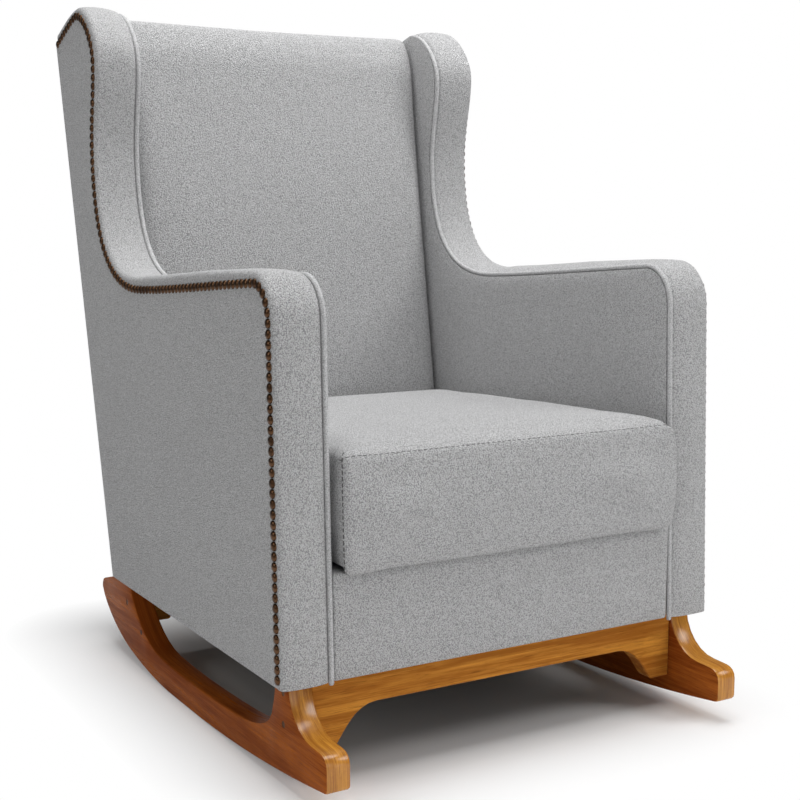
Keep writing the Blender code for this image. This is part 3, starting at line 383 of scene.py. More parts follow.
def lacquered_wood(name, face, edge):
    """Oiled and lacquered wood: each is (early, late) grain colours, of a board's faces and edges.

    The mesh carries "grain", a place with Y along the fibres, and "edge", 1 on a board's edges.
    The edges' paler colour is partly a painted highlight, and the faces' darker colour partly
    painted shade.
    """
    material, tree, shader = new_material(name)
    place = add(tree, 'ShaderNodeAttribute', attribute_name="grain")["Vector"]
    on_edge = add(tree, 'ShaderNodeAttribute', attribute_name="edge")["Fac"]
    # faces take the darker colour, partly painted shade, and edges the paler one, partly a painted
    # highlight
    early, late = (mix_colour(tree, on_edge, *pair) for pair in zip(face, edge))
    grain = use_group(tree, "grain", place, Early=early, Late=late, Figure=0.30, Pores=0.40)
    wear = use_group(tree, "wear", object_vector(tree), Amount=0.22)
    rough = math_node(tree, 'MULTIPLY_ADD', on_edge, 0.08, grain["Roughness"])
    feed(tree, shader, {"Base Color": mix_colour(tree, wear["Mask"], grain["Color"], face[1]),
                        "Roughness": rough, "Specular IOR Level": 0.02,
                        "Coat Weight": math_node(tree, 'MULTIPLY', on_edge, LACQUER),
                        "Coat Roughness": 0.24, "Coat IOR": 1.65})
    bump(tree, shader, grain["Height"], 0.35, 0.0003)
    return material


def plain_wood(name, early, late):
    """Sawn wood with no finish, its grain along the frame's own Y."""
    material, tree, shader = new_material(name)
    vector = object_vector(tree)
    grain = use_group(tree, "grain", vector, Early=early, Late=late, Figure=0.35, Pores=0.35)
    wear = use_group(tree, "wear", vector, Amount=0.25)
    rough = math_node(tree, 'MULTIPLY_ADD', grain["Roughness"], 0.6, 0.5)
    soiled = tuple(0.8 * value for value in late)
    feed(tree, shader, {"Base Color": mix_colour(tree, wear["Mask"], grain["Color"], soiled),
                        "Roughness": rough})
    bump(tree, shader, grain["Height"], 0.5, 0.0004)
    return material


def metal_material(name, bright, dark, roughness, wear_amount):
    material, tree, shader = new_material(name)
    vector = object_vector(tree)
    worn = use_group(tree, "wear", vector, Amount=wear_amount)["Mask"]
    rough = math_node(tree, 'MULTIPLY_ADD', worn, 0.25, roughness, clamp=True)
    feed(tree, shader, {"Base Color": mix_colour(tree, worn, bright, dark), "Metallic": 1.0,
                        "Roughness": rough})
    bump(tree, shader, noise(tree, vector, 600.0, 3.0, 0.6), 0.3, 0.0002)
    return material


def strap_material(name, light, shade, pitch):
    """Plain-woven strap or liner: two crossing sets of threads with a slub in them."""
    material, tree, shader = new_material(name)
    vector = object_vector(tree)
    warp, weft = (add(tree, 'ShaderNodeTexWave',
                      {"Vector": vector, "Scale": pitch, "Distortion": 1.2},
                      wave_type='BANDS', bands_direction=direction)["Fac"]
                  for direction in ('X', 'Z'))
    weave = math_node(tree, 'MULTIPLY', warp, weft)
    slub = noise(tree, vector, 240.0, 3.0, 0.6)
    tone = weighted(tree, (weave, 0.7), (slub, 0.6), clamp=True)
    feed(tree, shader, {"Base Color": mix_colour(tree, tone, shade, light), "Roughness": 0.92,
                        "Specular IOR Level": 0.2})
    bump(tree, shader, tone, 0.6, 0.0006)
    return material


def floor_material():
    """Pale floor that keeps the chair's shadow, with painted shade of dark grey under the seat, and
    is plain white to the camera further out.
    """
    material, tree, shader = new_material("studio_floor")
    from_middle = vector_math(tree, 'ABSOLUTE', object_vector(tree))

    def beyond(rectangle, fade):
        """0 inside a rectangle of these half sizes, and 1 from a distance of fade outside it."""
        outside = vector_math(tree, 'SUBTRACT', from_middle["Vector"], rectangle)
        positive = vector_math(tree, 'MAXIMUM', outside["Vector"])
        reach = vector_math(tree, 'LENGTH', positive["Vector"])
        return math_node(tree, 'MULTIPLY', reach["Value"], 1 / fade, clamp=True)

    # painted shade: the floor's colour turns dark grey under the seat
    grey = mix_colour(tree, beyond(PAINTED_SHADE_HALF, PAINTED_SHADE_FADE), FLOOR_PAINTED_SHADE, FLOOR_PALE)
    feed(tree, shader, {"Base Color": grey, "Roughness": 0.9, "Specular IOR Level": 0.0})
    is_seen = add(tree, 'ShaderNodeLightPath')["Is Camera Ray"]
    white = math_node(tree, 'MULTIPLY', is_seen, beyond(FLOOR_SHADED, FLOOR_FADE))
    both = add(tree, 'ShaderNodeMixShader',
               {0: white, 1: shader.outputs["BSDF"],
                2: add(tree, 'ShaderNodeEmission')["Emission"]})
    feed(tree, tree.nodes["Material Output"], {"Surface": both["Shader"]})
    return material


WOOL = cloth_material("grey_boucle", (0.62, 0.62, 0.625), (0.32, 0.32, 0.325), 640.0, 0.0022)
WELT_WOOL = cloth_material("grey_boucle_bias", (0.59, 0.59, 0.595), (0.36, 0.36, 0.365),
                           700.0, 0.0008)
DECK_WOOL = cloth_material("deck_lining", (0.42, 0.42, 0.425), (0.24, 0.24, 0.245),
                           700.0, 0.0004)
THREAD = cloth_material("seam_thread", (0.13, 0.128, 0.125), (0.06, 0.058, 0.056),
                        1500.0, 0.0002)
# Board faces are a darker, redder brown: partly the face grain's own tone, partly painted shade on
# the rockers' sides and runners' tops. It also darkens the rails' tops and undersides a little. The
# paler edge colour on the leg fronts is partly a painted highlight.
BOARD_FACE_AND_SHADE = ((0.44, 0.125, 0.020), (0.22, 0.048, 0.007))
BOARD_EDGE_AND_HIGHLIGHT = ((0.71, 0.33, 0.046), (0.34, 0.12, 0.014))
RAIL_FACE = ((0.66, 0.285, 0.045), (0.34, 0.115, 0.016))
ROCKER_WOOD = lacquered_wood("honey_rocker_wood", BOARD_FACE_AND_SHADE, BOARD_EDGE_AND_HIGHLIGHT)
RAIL_WOOD = lacquered_wood("honey_rail_wood", RAIL_FACE, BOARD_FACE_AND_SHADE)
PLUG_WOOD = plain_wood("dowel_end_grain", (0.13, 0.045, 0.012), (0.05, 0.018, 0.006))
TIMBER = plain_wood("sawn_timber", (0.60, 0.44, 0.25), (0.42, 0.28, 0.14))
BRONZE = metal_material("aged_bronze", (0.105, 0.055, 0.029), (0.016, 0.009, 0.006), 0.24, 0.9)
ZINC = metal_material("zinc_plate", (0.62, 0.62, 0.63), (0.35, 0.34, 0.33), 0.3, 0.6)
BLACK_SCREW = metal_material("black_screw", (0.12, 0.060, 0.028), (0.04, 0.020, 0.010), 0.45, 0.6)
SPRING_WIRE = metal_material("spring_wire", (0.28, 0.29, 0.31), (0.12, 0.11, 0.10), 0.35, 0.7)
DUST_CLOTH = strap_material("black_dust_cloth", (0.035, 0.035, 0.036), (0.012, 0.012, 0.012),
                            260.0)
WEBBING = strap_material("jute_webbing", (0.46, 0.35, 0.21), (0.22, 0.15, 0.08), 120.0)


# Outlines

def heading(angle, length):
    return Vector((math.cos(math.radians(angle)), math.sin(math.radians(angle)))) * length


def bend(start, start_angle, start_pull, end, end_angle, end_pull, steps):
    """Points of one smooth stretch, without its last. Pulls are shares of its straight length."""
    first, last = Vector(start), Vector(end)
    span = (last - first).length
    points = interpolate_bezier(
        first.to_3d(), (first + heading(start_angle, start_pull * span)).to_3d(),
        (last - heading(end_angle, end_pull * span)).to_3d(), last.to_3d(), steps + 1)
    return [point.to_2d() for point in points[:-1]]


def rear_y(z):
    return BACK_FOOT_Y + (BACK_TOP[0] - BACK_FOOT_Y) / BACK_TOP[1] * z


def post_y(z):
    return rear_y(z) - BACK_POST_FOOT - (BACK_POST_TOP - BACK_POST_FOOT) * z / BACK_TOP[1]


def face_y(z):
    return BACK_FACE_FOOT_Y + BACK_FACE_SLOPE * z


def seat_z(y, below=0.0):
    return SEAT_HEIGHT - SEAT_SLOPE * y - below


def arm_and_wing():
    """The outline of an arm and its wing, from the front foot over the top to the back."""
    corner_z = ARM_HEIGHT - ARM_CORNER
    lean = math.degrees(math.atan2(corner_z, ARM_LEAN))
    corner_start = (ARM_LEAN, corner_z)
    corner_end = (ARM_LEAN + ARM_CORNER, ARM_HEIGHT)
    notch = (NOTCH_Y, ARM_HEIGHT - ARM_FALL)
    back = (BACK_TOP[0] - 0.0043, BACK_TOP[1])
    fall = -math.degrees(math.atan2(ARM_FALL, NOTCH_Y - corner_end[0]))
    path = bend((0.0, 0.0), lean, 0.33, corner_start, lean, 0.33, 40)
    path += bend(corner_start, lean, 0.389, corner_end, fall, 0.389, 16)
    path += bend(corner_end, fall, 0.329, notch, fall * 0.5, 0.253, 44)
    path += bend(notch, fall * 0.5, 0.48, WAIST, 90.0, 0.48, 36)
    path += bend(WAIST, 90.0, 0.347, WING_REACH, 90.0, 0.347, 20)
    path += bend(WING_REACH, 90.0, 0.32, WING_TOP, 0.0, 0.32, 24)
    path += bend(WING_TOP, 0.0, 0.113, back, -BACK_TOP_FALL, 0.378, 16)
    return path + [Vector(back)]


def normals_of(path):
    """Unit vectors that point out of the chair, on the left of the path's direction."""
    found = []
    for index in range(len(path)):
        along = path[min(index + 1, len(path) - 1)] - path[max(index - 1, 0)]
        along.normalize()
        found.append(Vector((-along.y, along.x)))
    return found


def offset(path, distance):
    """The path moved out of the chair by a distance, or into it where that is negative."""
    return [point + out * distance for point, out in zip(path, normals_of(path))]


PATH = arm_and_wing()


def at(x, y, z):
    return Vector((x, y + FRONT_Y, z + BASE_HEIGHT))


ORIGIN = at(0.0, 0.0, 0.0)
# From the seat's own plane, which falls to the back, into the frame
SEAT_PLACE = Matrix.Translation(at(0.0, 0.0, SEAT_HEIGHT)) @ Matrix.Rotation(-SEAT_TILT, 4, 'X')


def share_of(value, start, end):
    """How far a value is from start to end, from 0 to 1."""
    return min(max((value - start) / (end - start), 0.0), 1.0)


# Mesh helpers

def finish_piece(name, mesh, material, body, nodes=(), smooth_angle=None):
    """A mesh as one piece of the chair, its edges sharp beyond the angle where there is one."""
    mesh.materials.clear()
    mesh.materials.append(material)
    mesh.shade_smooth()
    if smooth_angle is not None:
        mesh.set_sharp_from_angle(angle=math.radians(smooth_angle))
    piece = new_object(name, mesh)
    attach(piece, body)
    if nodes:
        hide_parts(*nodes)
    return piece


def mesh_of(shape, name):
    mesh = bpy.data.meshes.new(name)
    shape.to_mesh(mesh)
    shape.free()
    return mesh


def circle(sides):
    """(cosine, sine) of each of a circle's points."""
    return [(math.cos(turn), math.sin(turn))
            for turn in (2 * math.pi * step / sides for step in range(sides))]


def mesh_from_grid(name, rows, closed_rows=False, ends=False):
    """A mesh of quads through rows of points. Ends fills the first and last row."""
    shape = bmesh.new()
    grid = [[shape.verts.new(point) for point in row] for row in rows]
    width = len(grid[0])
    for a, b in zip(grid, grid[1:]):
        for j in range(width if closed_rows else width - 1):
            shape.faces.new((a[j], a[(j + 1) % width], b[(j + 1) % width], b[j]))
    if ends:
        shape.faces.new(grid[0])
        shape.faces.new(grid[-1][::-1])
    bmesh.ops.recalc_face_normals(shape, faces=shape.faces)
    return mesh_of(shape, name)


def evaluated_mesh(piece):
    """A new mesh of an object with its modifiers applied."""
    bpy.context.view_layer.update()
    graph = bpy.context.evaluated_depsgraph_get()
    return bpy.data.meshes.new_from_object(piece.evaluated_get(graph))


def baked_mesh(mesh, kind, **settings):
    """A new mesh of this one with a modifier of this kind applied."""
    holder = new_object("holder", mesh)
    modifier = holder.modifiers.new(kind.lower(), kind)
    for label, value in settings.items():
        setattr(modifier, label, value)
    result = evaluated_mesh(holder)
    bpy.data.objects.remove(holder, do_unlink=True)
    return result


# Rows of small pieces

def row_tree():
    """Geometry Nodes: copies of one piece at even spaces along a guide curve."""
    tree, enter, leave = new_group(
        "row_along_guide",
        {"Geometry": 'Geometry', "Spacing": 'Float', "Piece": 'Object', "Finish": 'Material',
         "Wobble": 'Float'},
        {"Geometry": 'Geometry'}, 'GeometryNodeTree')
    curve = add(tree, 'GeometryNodeMeshToCurve', {"Mesh": enter["Geometry"]})
    points = add(tree, 'GeometryNodeCurveToPoints',
                 {"Curve": curve["Curve"], "Length": enter["Spacing"]}, mode='LENGTH')
    outward = add(tree, 'GeometryNodeInputNamedAttribute', {"Name": "outward"},
                  data_type='FLOAT_VECTOR')
    along = add(tree, 'FunctionNodeAlignRotationToVector',
                {"Vector": points["Tangent"]}, axis='X')
    facing = add(tree, 'FunctionNodeAlignRotationToVector',
                 {"Rotation": along["Rotation"],
                  "Vector": outward["Attribute"]}, axis='Z', pivot_axis='X')
    pattern = add(tree, 'GeometryNodeObjectInfo', {"Object": enter["Piece"]})
    copies = add(tree, 'GeometryNodeInstanceOnPoints',
                 {"Points": points["Points"], "Instance": pattern["Geometry"],
                  "Rotation": facing["Rotation"]})
    random = add(tree, 'FunctionNodeRandomValue', {"Seed": ROW_SEED}, data_type='FLOAT_VECTOR')
    centred = vector_math(tree, 'SUBTRACT', random[0], (0.5, 0.5, 0.5))
    tilt = vector_math(tree, 'SCALE', centred[0], scale=enter["Wobble"])
    tilted = add(tree, 'GeometryNodeRotateInstances',
                 {"Instances": copies["Instances"], "Rotation": tilt[0]})
    joined = add(tree, 'GeometryNodeRealizeInstances',
                 {"Geometry": tilted["Instances"]})
    dressed = add(tree, 'GeometryNodeSetMaterial',
                  {"Geometry": joined["Geometry"], "Material": enter["Finish"]})
    feed(tree, leave, {"Geometry": dressed["Geometry"]})
    return tree


ROW_TREE = row_tree()


def row_of(name, piece_mesh, route, outward, spacing, material, wobble):
    """Copies of a mesh along a route of frame points, its top facing outward."""
    guide_mesh = bpy.data.meshes.new(name)
    guide_mesh.from_pydata(route, [(i, i + 1) for i in range(len(route) - 1)], [])
    facing = guide_mesh.attributes.new("outward", 'FLOAT_VECTOR', 'POINT')
    facing.data.foreach_set("vector", [*outward] * len(route))
    pattern = new_object(name + "_pattern", piece_mesh)
    guide = new_object(name + "_guide", guide_mesh)
    nodes = guide.modifiers.new("row", 'NODES')
    nodes.node_group = ROW_TREE
    for label, value in (("Spacing", spacing), ("Piece", pattern), ("Finish", material),
                         ("Wobble", wobble)):
        nodes[ROW_TREE.interface.items_tree[label].identifier] = value
    mesh = evaluated_mesh(guide)
    for leftover in (guide, pattern):
        bpy.data.objects.remove(leftover, do_unlink=True)
    mesh.name = name
    return mesh


# Covers

# How far the band's padding stands out of the outline, at steps along it
CROWN_STEPS = (0, 36, 48, 60, 75, 97, 104, 110, 118, 126, 136, 146, 160, 172, 181, 188, 196)
CROWN_RISES = (0.0075, 0.0075, 0.0070, 0.0130, 0.0165, 0.0160, 0.0125, 0.0088, 0.0078, 0.0078,
               0.0075, 0.0090, 0.0138, 0.0115, 0.0095, 0.0135, 0.0155)
# The cord stands out of its seam until the wing's top, where it sinks into the fabric
WELT_STEPS = (0, 160, 176, 196)
WELT_RISES = (WELT_RISE, WELT_RISE, -0.0016, -0.0016)
HEM_DROP = 0.0016           # fabric hangs this far below the frame's underside
BAND_TUCK = 0.0085          # the band's edges are tucked in this far under the outline
BAND_STEPS = 14             # across the band
BAND_EASE = 0.0028          # the crown falls this far towards the band's outer edge
BAND_TURN = range(15, 91, 15)       # degrees of the fabric's turn over the outer corner
HEM_SHARES = ((-HEM_DROP, 0.86), (-0.5 * HEM_DROP, 0.96))   # height, and share of the crown
WELT_FOOT = ((0.0034, 0.30), (0.0030, 0.62), (0.0020, 0.88), (0.0006, 1.0))     # drop, and radius
SINGLE_SUBSURF = {"levels": 1, "render_levels": 1}


def band_section(crown):
    """(out of the outline, across) of the band, from under the welt to the side panel."""
    inner = ARM_INNER + 1.4 * WELT_RADIUS
    flat = ARM_OUTER - FABRIC_TURN
    section = [(-BAND_TUCK, inner), (-0.0030, inner), (-0.0004, inner + 0.0014)]
    for step in range(1, BAND_STEPS + 1):
        share = step / BAND_STEPS
        rise = crown * math.sin(math.pi * 0.5 * share ** 0.62) - BAND_EASE * share ** 3
        section.append((rise, inner + (flat - inner) * share))
    top = section[-1][0]
    for turn in map(math.radians, BAND_TURN):
        section.append((top - FABRIC_TURN * (1 - math.cos(turn)),
                        flat + FABRIC_TURN * math.sin(turn)))
    return section + [(-NAIL_INSET - 0.0015, ARM_OUTER + 0.0001),
                      (-NAIL_INSET - 0.0018, ARM_OUTER - 0.0012),
                      (-BAND_TUCK, ARM_OUTER - 0.0045)]


def facing_band(side, name):
    """The padded band round an arm and wing, its fabric turned over the outer corner."""
    # below the foot the padding thins out to the hem
    rows = [[at(side * x, -away * share if away > 0 else -away, z)
             for away, x in band_section(CROWN_RISES[0])]
            for z, share in HEM_SHARES]
    for index, (point, out) in enumerate(zip(PATH, normals_of(PATH))):
        crown = float(np.interp(index, CROWN_STEPS, CROWN_RISES))
        rows.append([at(side * x, *(point + out * away)) for away, x in band_section(crown)])
    return mesh_from_grid(name, rows, closed_rows=True, ends=True)


def make_bands():
    for side, name in SIDES:
        mesh = facing_band(side, name + "_facing_band_cover")
        mesh = baked_mesh(mesh, 'SUBSURF', **SINGLE_SUBSURF)
        piece = finish_piece(name + "_facing_band_cover", mesh, WOOL, "chair",
                             [name + "_facing_band"], 50.0)


def make_welts():
    """A cord in bias-cut fabric along each inner seam, its foot rounded off under the hem."""
    middle = ARM_INNER + WELT_RADIUS
    normals = normals_of(PATH)
    centre = [point + out * float(np.interp(index, WELT_STEPS, WELT_RISES))
              for index, (point, out) in enumerate(zip(PATH, normals))]
    stations = [(Vector((centre[0].x, -HEM_DROP - drop)), normals[0], share)
                for drop, share in WELT_FOOT]
    stations += [(point, out, 1.0) for point, out in zip(centre, normals)]
    for side, name in SIDES:
        rows = [[at(side * (middle + WELT_RADIUS * share * across),
                    *(point + out * WELT_RADIUS * share * away))
                 for across, away in circle(WELT_SIDES)] for point, out, share in stations]
        mesh = mesh_from_grid(name + "_welt", rows, closed_rows=True, ends=True)
        finish_piece(name + "_arm_welt", mesh, WELT_WOOL, "chair",
                     [name + "_inner_piping"], 60.0)


PUFF_RUN = 0.02             # from a sheet's edge inwards
SHEET_COLUMNS = 40
SHEET_MIDDLE = ARM_HEIGHT - 0.13    # rows from the arm end below this, rows from the wing above


def side_sheet(name, side, x_face, thickness, edge, low, rear, puff, flip):
    """A thin upholstered sheet in the side view, between the outline and a rear line.

    It starts this edge inside the outline, and puffs outwards where flip is 1, inwards at -1.
    """
    outline = [point for point in offset(PATH, -edge)
               if point.y > low and point.x < rear(point.y) - 0.002]
    count = len(outline)
    top = outline[-1].y
    arm_share = next(i for i, point in enumerate(outline) if point.x > NOTCH_Y) / count
    rows = []
    for index, point in enumerate(outline):
        share = index / (count - 1)
        if share < arm_share:
            z = low + (SHEET_MIDDLE - low) * (share / arm_share) ** 1.15
        else:
            above = (share - arm_share) / (1 - arm_share)
            z = SHEET_MIDDLE + (top - SHEET_MIDDLE) * above ** 0.9
        end = Vector((rear(z), z))
        front, back = [], []
        for column in range(SHEET_COLUMNS + 1):
            place = point.lerp(end, column / SHEET_COLUMNS)
            room = min((place - point).length, (end - place).length,
                       max(place.y - low, 0.0) + 0.004)
            swell = puff * (1 - math.exp(-room / PUFF_RUN))
            front.append(at(side * (x_face + flip * swell), *place))
            back.append(at(side * (x_face - flip * thickness), *place))
        rows.append(front + back[::-1])
    return mesh_from_grid(name, rows, closed_rows=True, ends=True)


def make_side_covers():
    for side, name in SIDES:
        outer = side_sheet(name + "_outer_side_cover", side, ARM_OUTER, thickness=0.0035,
                           edge=0.0035, low=-HEM_DROP, rear=lambda z: rear_y(z) - 0.0006,
                           puff=0.0016, flip=1)
        finish_piece(name + "_outer_side_cover", outer, WOOL, "chair",
                     [name + "_outer_side_panel"], 50.0)
        inner = side_sheet(name + "_inner_side_cover", side, ARM_INNER, thickness=0.005,
                           edge=0.0025, low=0.095, rear=lambda z: post_y(z) - 0.001,
                           puff=0.0030, flip=-1)
        piece = finish_piece(name + "_inner_side_cover", inner, WOOL, "chair",
                             [name + "_inner_side_pad"], 50.0)


ROUND_STEPS = 5             # over a rounded box's edge


def rounded_box(name, low, high, spacing, edge, shape_point):
    """A closed gridded box with round edges, its points then moved by shape_point."""
    size = [b - a for a, b in zip(low, high)]
    middle = Vector([(a + b) / 2 for a, b in zip(low, high)])
    half = Vector([value / 2 for value in size])
    counts = [max(4, round(value / spacing)) for value in size]

    def stops(axis):
        # closer together near the edges, so that the rounding is smooth
        flat = half[axis] - edge
        inner = max(2, counts[axis])
        line = [-half[axis] + edge * (1 - math.cos(math.pi / 2 * i / ROUND_STEPS))
                for i in range(ROUND_STEPS)]
        line += [-flat + 2 * flat * i / inner for i in range(inner + 1)]
        return line + [-value for value in reversed(line[:ROUND_STEPS])]

    lines = [stops(axis) for axis in range(3)]
    shape = bmesh.new()
    made = {}

    def vert(key):
        if key not in made:
            point = Vector([line[i] for line, i in zip(lines, key)])
            core = Vector([max(min(point[axis], half[axis] - edge), edge - half[axis])
                           for axis in range(3)])
            away = point - core
            if away.length > 0.0:
                point = core + away.normalized() * edge
            made[key] = shape.verts.new(shape_point(point, half) + middle)
        return made[key]

    for axis in range(3):
        u, v = (axis + 1) % 3, (axis + 2) % 3
        for end in (0, len(lines[axis]) - 1):
            for a in range(len(lines[u]) - 1):
                for b in range(len(lines[v]) - 1):
                    corners = []
                    for da, db in ((0, 0), (1, 0), (1, 1), (0, 1)):
                        key = [0, 0, 0]
                        key[axis], key[u], key[v] = end, a + da, b + db
                        corners.append(vert(tuple(key)))
                    shape.faces.new(corners)
    bmesh.ops.recalc_face_normals(shape, faces=shape.faces)
    return mesh_of(shape, name)


CLOTH_FRAMES = 20
CLOTH = {"quality": 5, "mass": 0.3, "tension_stiffness": 15.0, "compression_stiffness": 15.0,
         "bending_stiffness": 0.6, "use_pressure": True}
SMOOTHINGS = 12


def smoothed(mesh, shift):
    """The shift of each vertex averaged with its neighbours', which takes out small buckles."""
    ends = np.empty(len(mesh.edges) * 2, dtype=np.int32)
    mesh.edges.foreach_get("vertices", ends)
    first, second = ends.reshape(-1, 2).T
    degree = np.maximum(np.bincount(ends, minlength=len(shift)), 1)[:, None]
    for _ in range(SMOOTHINGS):
        total = np.zeros_like(shift)
        np.add.at(total, first, shift[second])
        np.add.at(total, second, shift[first])
        shift = 0.5 * shift + 0.5 * total / degree
    return shift


def inflate(mesh, name, voxel, pressure, cap):
    """Cloth swelled from inside, each point held within the cap, then smoothed once."""
    start = baked_mesh(mesh, 'REMESH', mode='VOXEL', voxel_size=voxel)
    piece = new_object(name + "_cloth", start)
    rest = np.empty(len(start.vertices) * 3)
    start.vertices.foreach_get("co", rest)
    cloth = piece.modifiers.new("cloth", 'CLOTH')
    for label, value in CLOTH.items():
        setattr(cloth.settings, label, value)
    cloth.settings.uniform_pressure_force = pressure
    cloth.settings.effector_weights.gravity = 0.0
    cloth.collision_settings.use_collision = False
    cloth.point_cache.frame_start = 1
    cloth.point_cache.frame_end = CLOTH_FRAMES
    for number in range(1, CLOTH_FRAMES + 1):
        bpy.context.scene.frame_set(number)
    swelled = evaluated_mesh(piece)
    bpy.data.objects.remove(piece, do_unlink=True)
    bpy.context.scene.frame_set(1)
    moved = np.empty(len(swelled.vertices) * 3)
    swelled.vertices.foreach_get("co", moved)
    shift = smoothed(swelled, (moved - rest).reshape(-1, 3))
    length = np.linalg.norm(shift, axis=1, keepdims=True)
    shift *= np.minimum(1.0, cap / np.maximum(length, 1e-9))
    swelled.vertices.foreach_set("co", (rest.reshape(-1, 3) + shift).ravel())
    swelled.update()
    return baked_mesh(swelled, 'SUBSURF', **SINGLE_SUBSURF)


# The cushion, in the seat's own plane
CUSHION_FRONT = -0.0235
CUSHION_REAR = 0.582
CUSHION_LOW = 0.0006
CUSHION_HIGH = 0.1487
CUSHION_HALF = 0.2664
CUSHION_CROWN = (0.0062, 0.0066)    # rise of its top, at the sides and what the middle adds
CUSHION_WAIST = 0.0030      # its sides draw in, and its front swells, by this much at half height
CUSHION_BELLY = 0.0060
CUSHION_EARS = (0.004, 0.033)       # it swells this far over the left and right band
EAR_ROOT = 0.232            # ... from this far out
EAR_DEPTH = (-0.0050, -0.0090)      # ... in front of the bands, from none to all of the swell
CUSHION_DROOP = 0.0115      # its front edge hangs this far over the apron
OVERHANG = (-0.0035, -0.0095)       # ... in front of the apron, from none to all of it
DROOP_TOP = 0.14            # ... up to this height over the deck
STITCH_PITCH = 0.0078
STITCH_LENGTH = 0.0056
CORNER_THREAD = 0.0008      # radii of the thread that shows
EDGE_THREAD = 0.00042
STITCH_SIDES = 6
STITCH_WOBBLE = 0.12
RIGHT_SEAM_Y = CUSHION_FRONT + 0.0155


def make_cushion():
    """The loose seat cushion, crowned on top, that hangs over the apron and laps the bands."""
    inset = 0.0035      # leaves room for the swell of the cloth

    def shape_point(point, half):
        u, v, w = (point[axis] / half[axis] for axis in range(3))
        across, along, upright = 1 - u * u, 1 - v * v, 1 - w * w
        crown = CUSHION_CROWN[0] + CUSHION_CROWN[1] * max(across, 0)
        lift = crown * max(along, 0) ** 0.6 * max(w, 0) ** 2
        waist = math.copysign(CUSHION_WAIST * along * upright, point.x) * (abs(u) > 0.5)
        belly = CUSHION_BELLY * across * upright if v < -0.5 else 0.0
        return Vector((point.x - waist, point.y - belly, point.z + lift))

    low = (-CUSHION_HALF + inset, CUSHION_FRONT + inset, CUSHION_LOW + inset * 0.5)
    high = (CUSHION_HALF - inset, CUSHION_REAR - inset, CUSHION_HIGH - inset * 0.5)
    mesh = rounded_box("seat_cushion_cover", low, high, spacing=0.012, edge=0.011,
                       shape_point=shape_point)
    mesh = inflate(mesh, "seat_cushion_cover", voxel=0.0065, pressure=4.0, cap=0.006)
    mesh.transform(SEAT_PLACE)
    for vert in mesh.vertices:
        # the fabric rests flat on the deck and stops at the arms and the back pad
        local = vert.co - ORIGIN
        local.x = max(-CUSHION_HALF, min(CUSHION_HALF, local.x))
        deck = seat_z(local.y)
        # in front of the arms it swells sideways, more on the right, as in the photo
        height = share_of(local.z - deck, 0.0, CUSHION_HIGH)
        free = share_of(local.y, *EAR_DEPTH)
        near = share_of(abs(local.x), EAR_ROOT, CUSHION_HALF)
        ear = CUSHION_EARS[1] if local.x > 0 else -CUSHION_EARS[0]
        round_up = math.sin(math.pi * (height * 0.62 + 0.06)) ** 0.8
        local.x += ear * near ** 1.2 * free * round_up
        overhang = share_of(local.y, *OVERHANG)
        upper = share_of(local.z - deck, 0.0, DROOP_TOP)
        local.z -= CUSHION_DROOP * overhang * (1 - upper) ** 2
        local.z = max(local.z, deck + CUSHION_LOW - CUSHION_DROOP * overhang)
        vert.co = local + ORIGIN
    piece = finish_piece("seat_cushion_cover", mesh, WOOL, "cushion", ["seat_cushion"])
    return piece


def stitch(radius):
    """One visible stitch of thread: a short bead along X."""
    rows = [[Vector((x * STITCH_LENGTH / 2, radius * share * across, radius * share * up))
             for across, up in circle(STITCH_SIDES)]
            for x, share in ((-1.0, 0.3), (-0.8, 0.9), (0.0, 1.0), (0.8, 0.9), (1.0, 0.3))]
    return mesh_from_grid("stitch", rows, closed_rows=True, ends=True)


def make_stitches(cushion):
    """Rows of stitches down the cushion's front corners and along its top front edge."""
    faces = BVHTree.FromPolygons([vert.co for vert in cushion.data.vertices],
                                 [polygon.vertices[:] for polygon in cushion.data.polygons])
    upright = np.linspace(CUSHION_LOW - CUSHION_DROOP + 0.010, CUSHION_HIGH - 0.004, 40)
    across = np.linspace(-CUSHION_HALF + 0.010, CUSHION_HALF - 0.018, 90)
    # name, the thread's radius, the way out of the cushion, and places near it along the row
    for name, radius, outward, targets in (
            ("left_corner_stitches", CORNER_THREAD, (-1.0, -1.0, 0.0),
             [(-CUSHION_HALF - CUSHION_EARS[0], CUSHION_FRONT, z) for z in upright]),
            ("right_corner_stitches", CORNER_THREAD, (1.0, 0.0, 0.0),
             [(CUSHION_HALF + CUSHION_EARS[1], RIGHT_SEAM_Y, z) for z in upright]),
            ("front_edge_stitches", EDGE_THREAD, (0.0, -1.0, 1.0),
             [(x, CUSHION_FRONT, CUSHION_HIGH + 0.004) for x in across])):
        away = Vector(outward).normalized()
        hits = [faces.ray_cast(SEAT_PLACE @ Vector(target) + away * 0.05, -away)[0]
                for target in targets]
        route = [place + away * 0.25 * radius for place in hits if place is not None]
        mesh = row_of(name, stitch(radius), route, away, STITCH_PITCH, THREAD, STITCH_WOBBLE)
        finish_piece(name, mesh, THREAD, "cushion", (), 60.0)


PAD_HALF = ARM_INNER - 0.0006
PAD_DEPTH = 0.046
PAD_REAR_GAP = 0.004
PAD_BULGE = 0.010
PAD_TOP_FALL = 0.021        # its face leans back this far more at the very top ...
PAD_TOP_FROM = 0.82         # ... from this share of its half height, over the rest of it
PAD_TOP_RUN = 0.18
PAD_ROUND = 0.018           # its face rounds off over this width at the sides


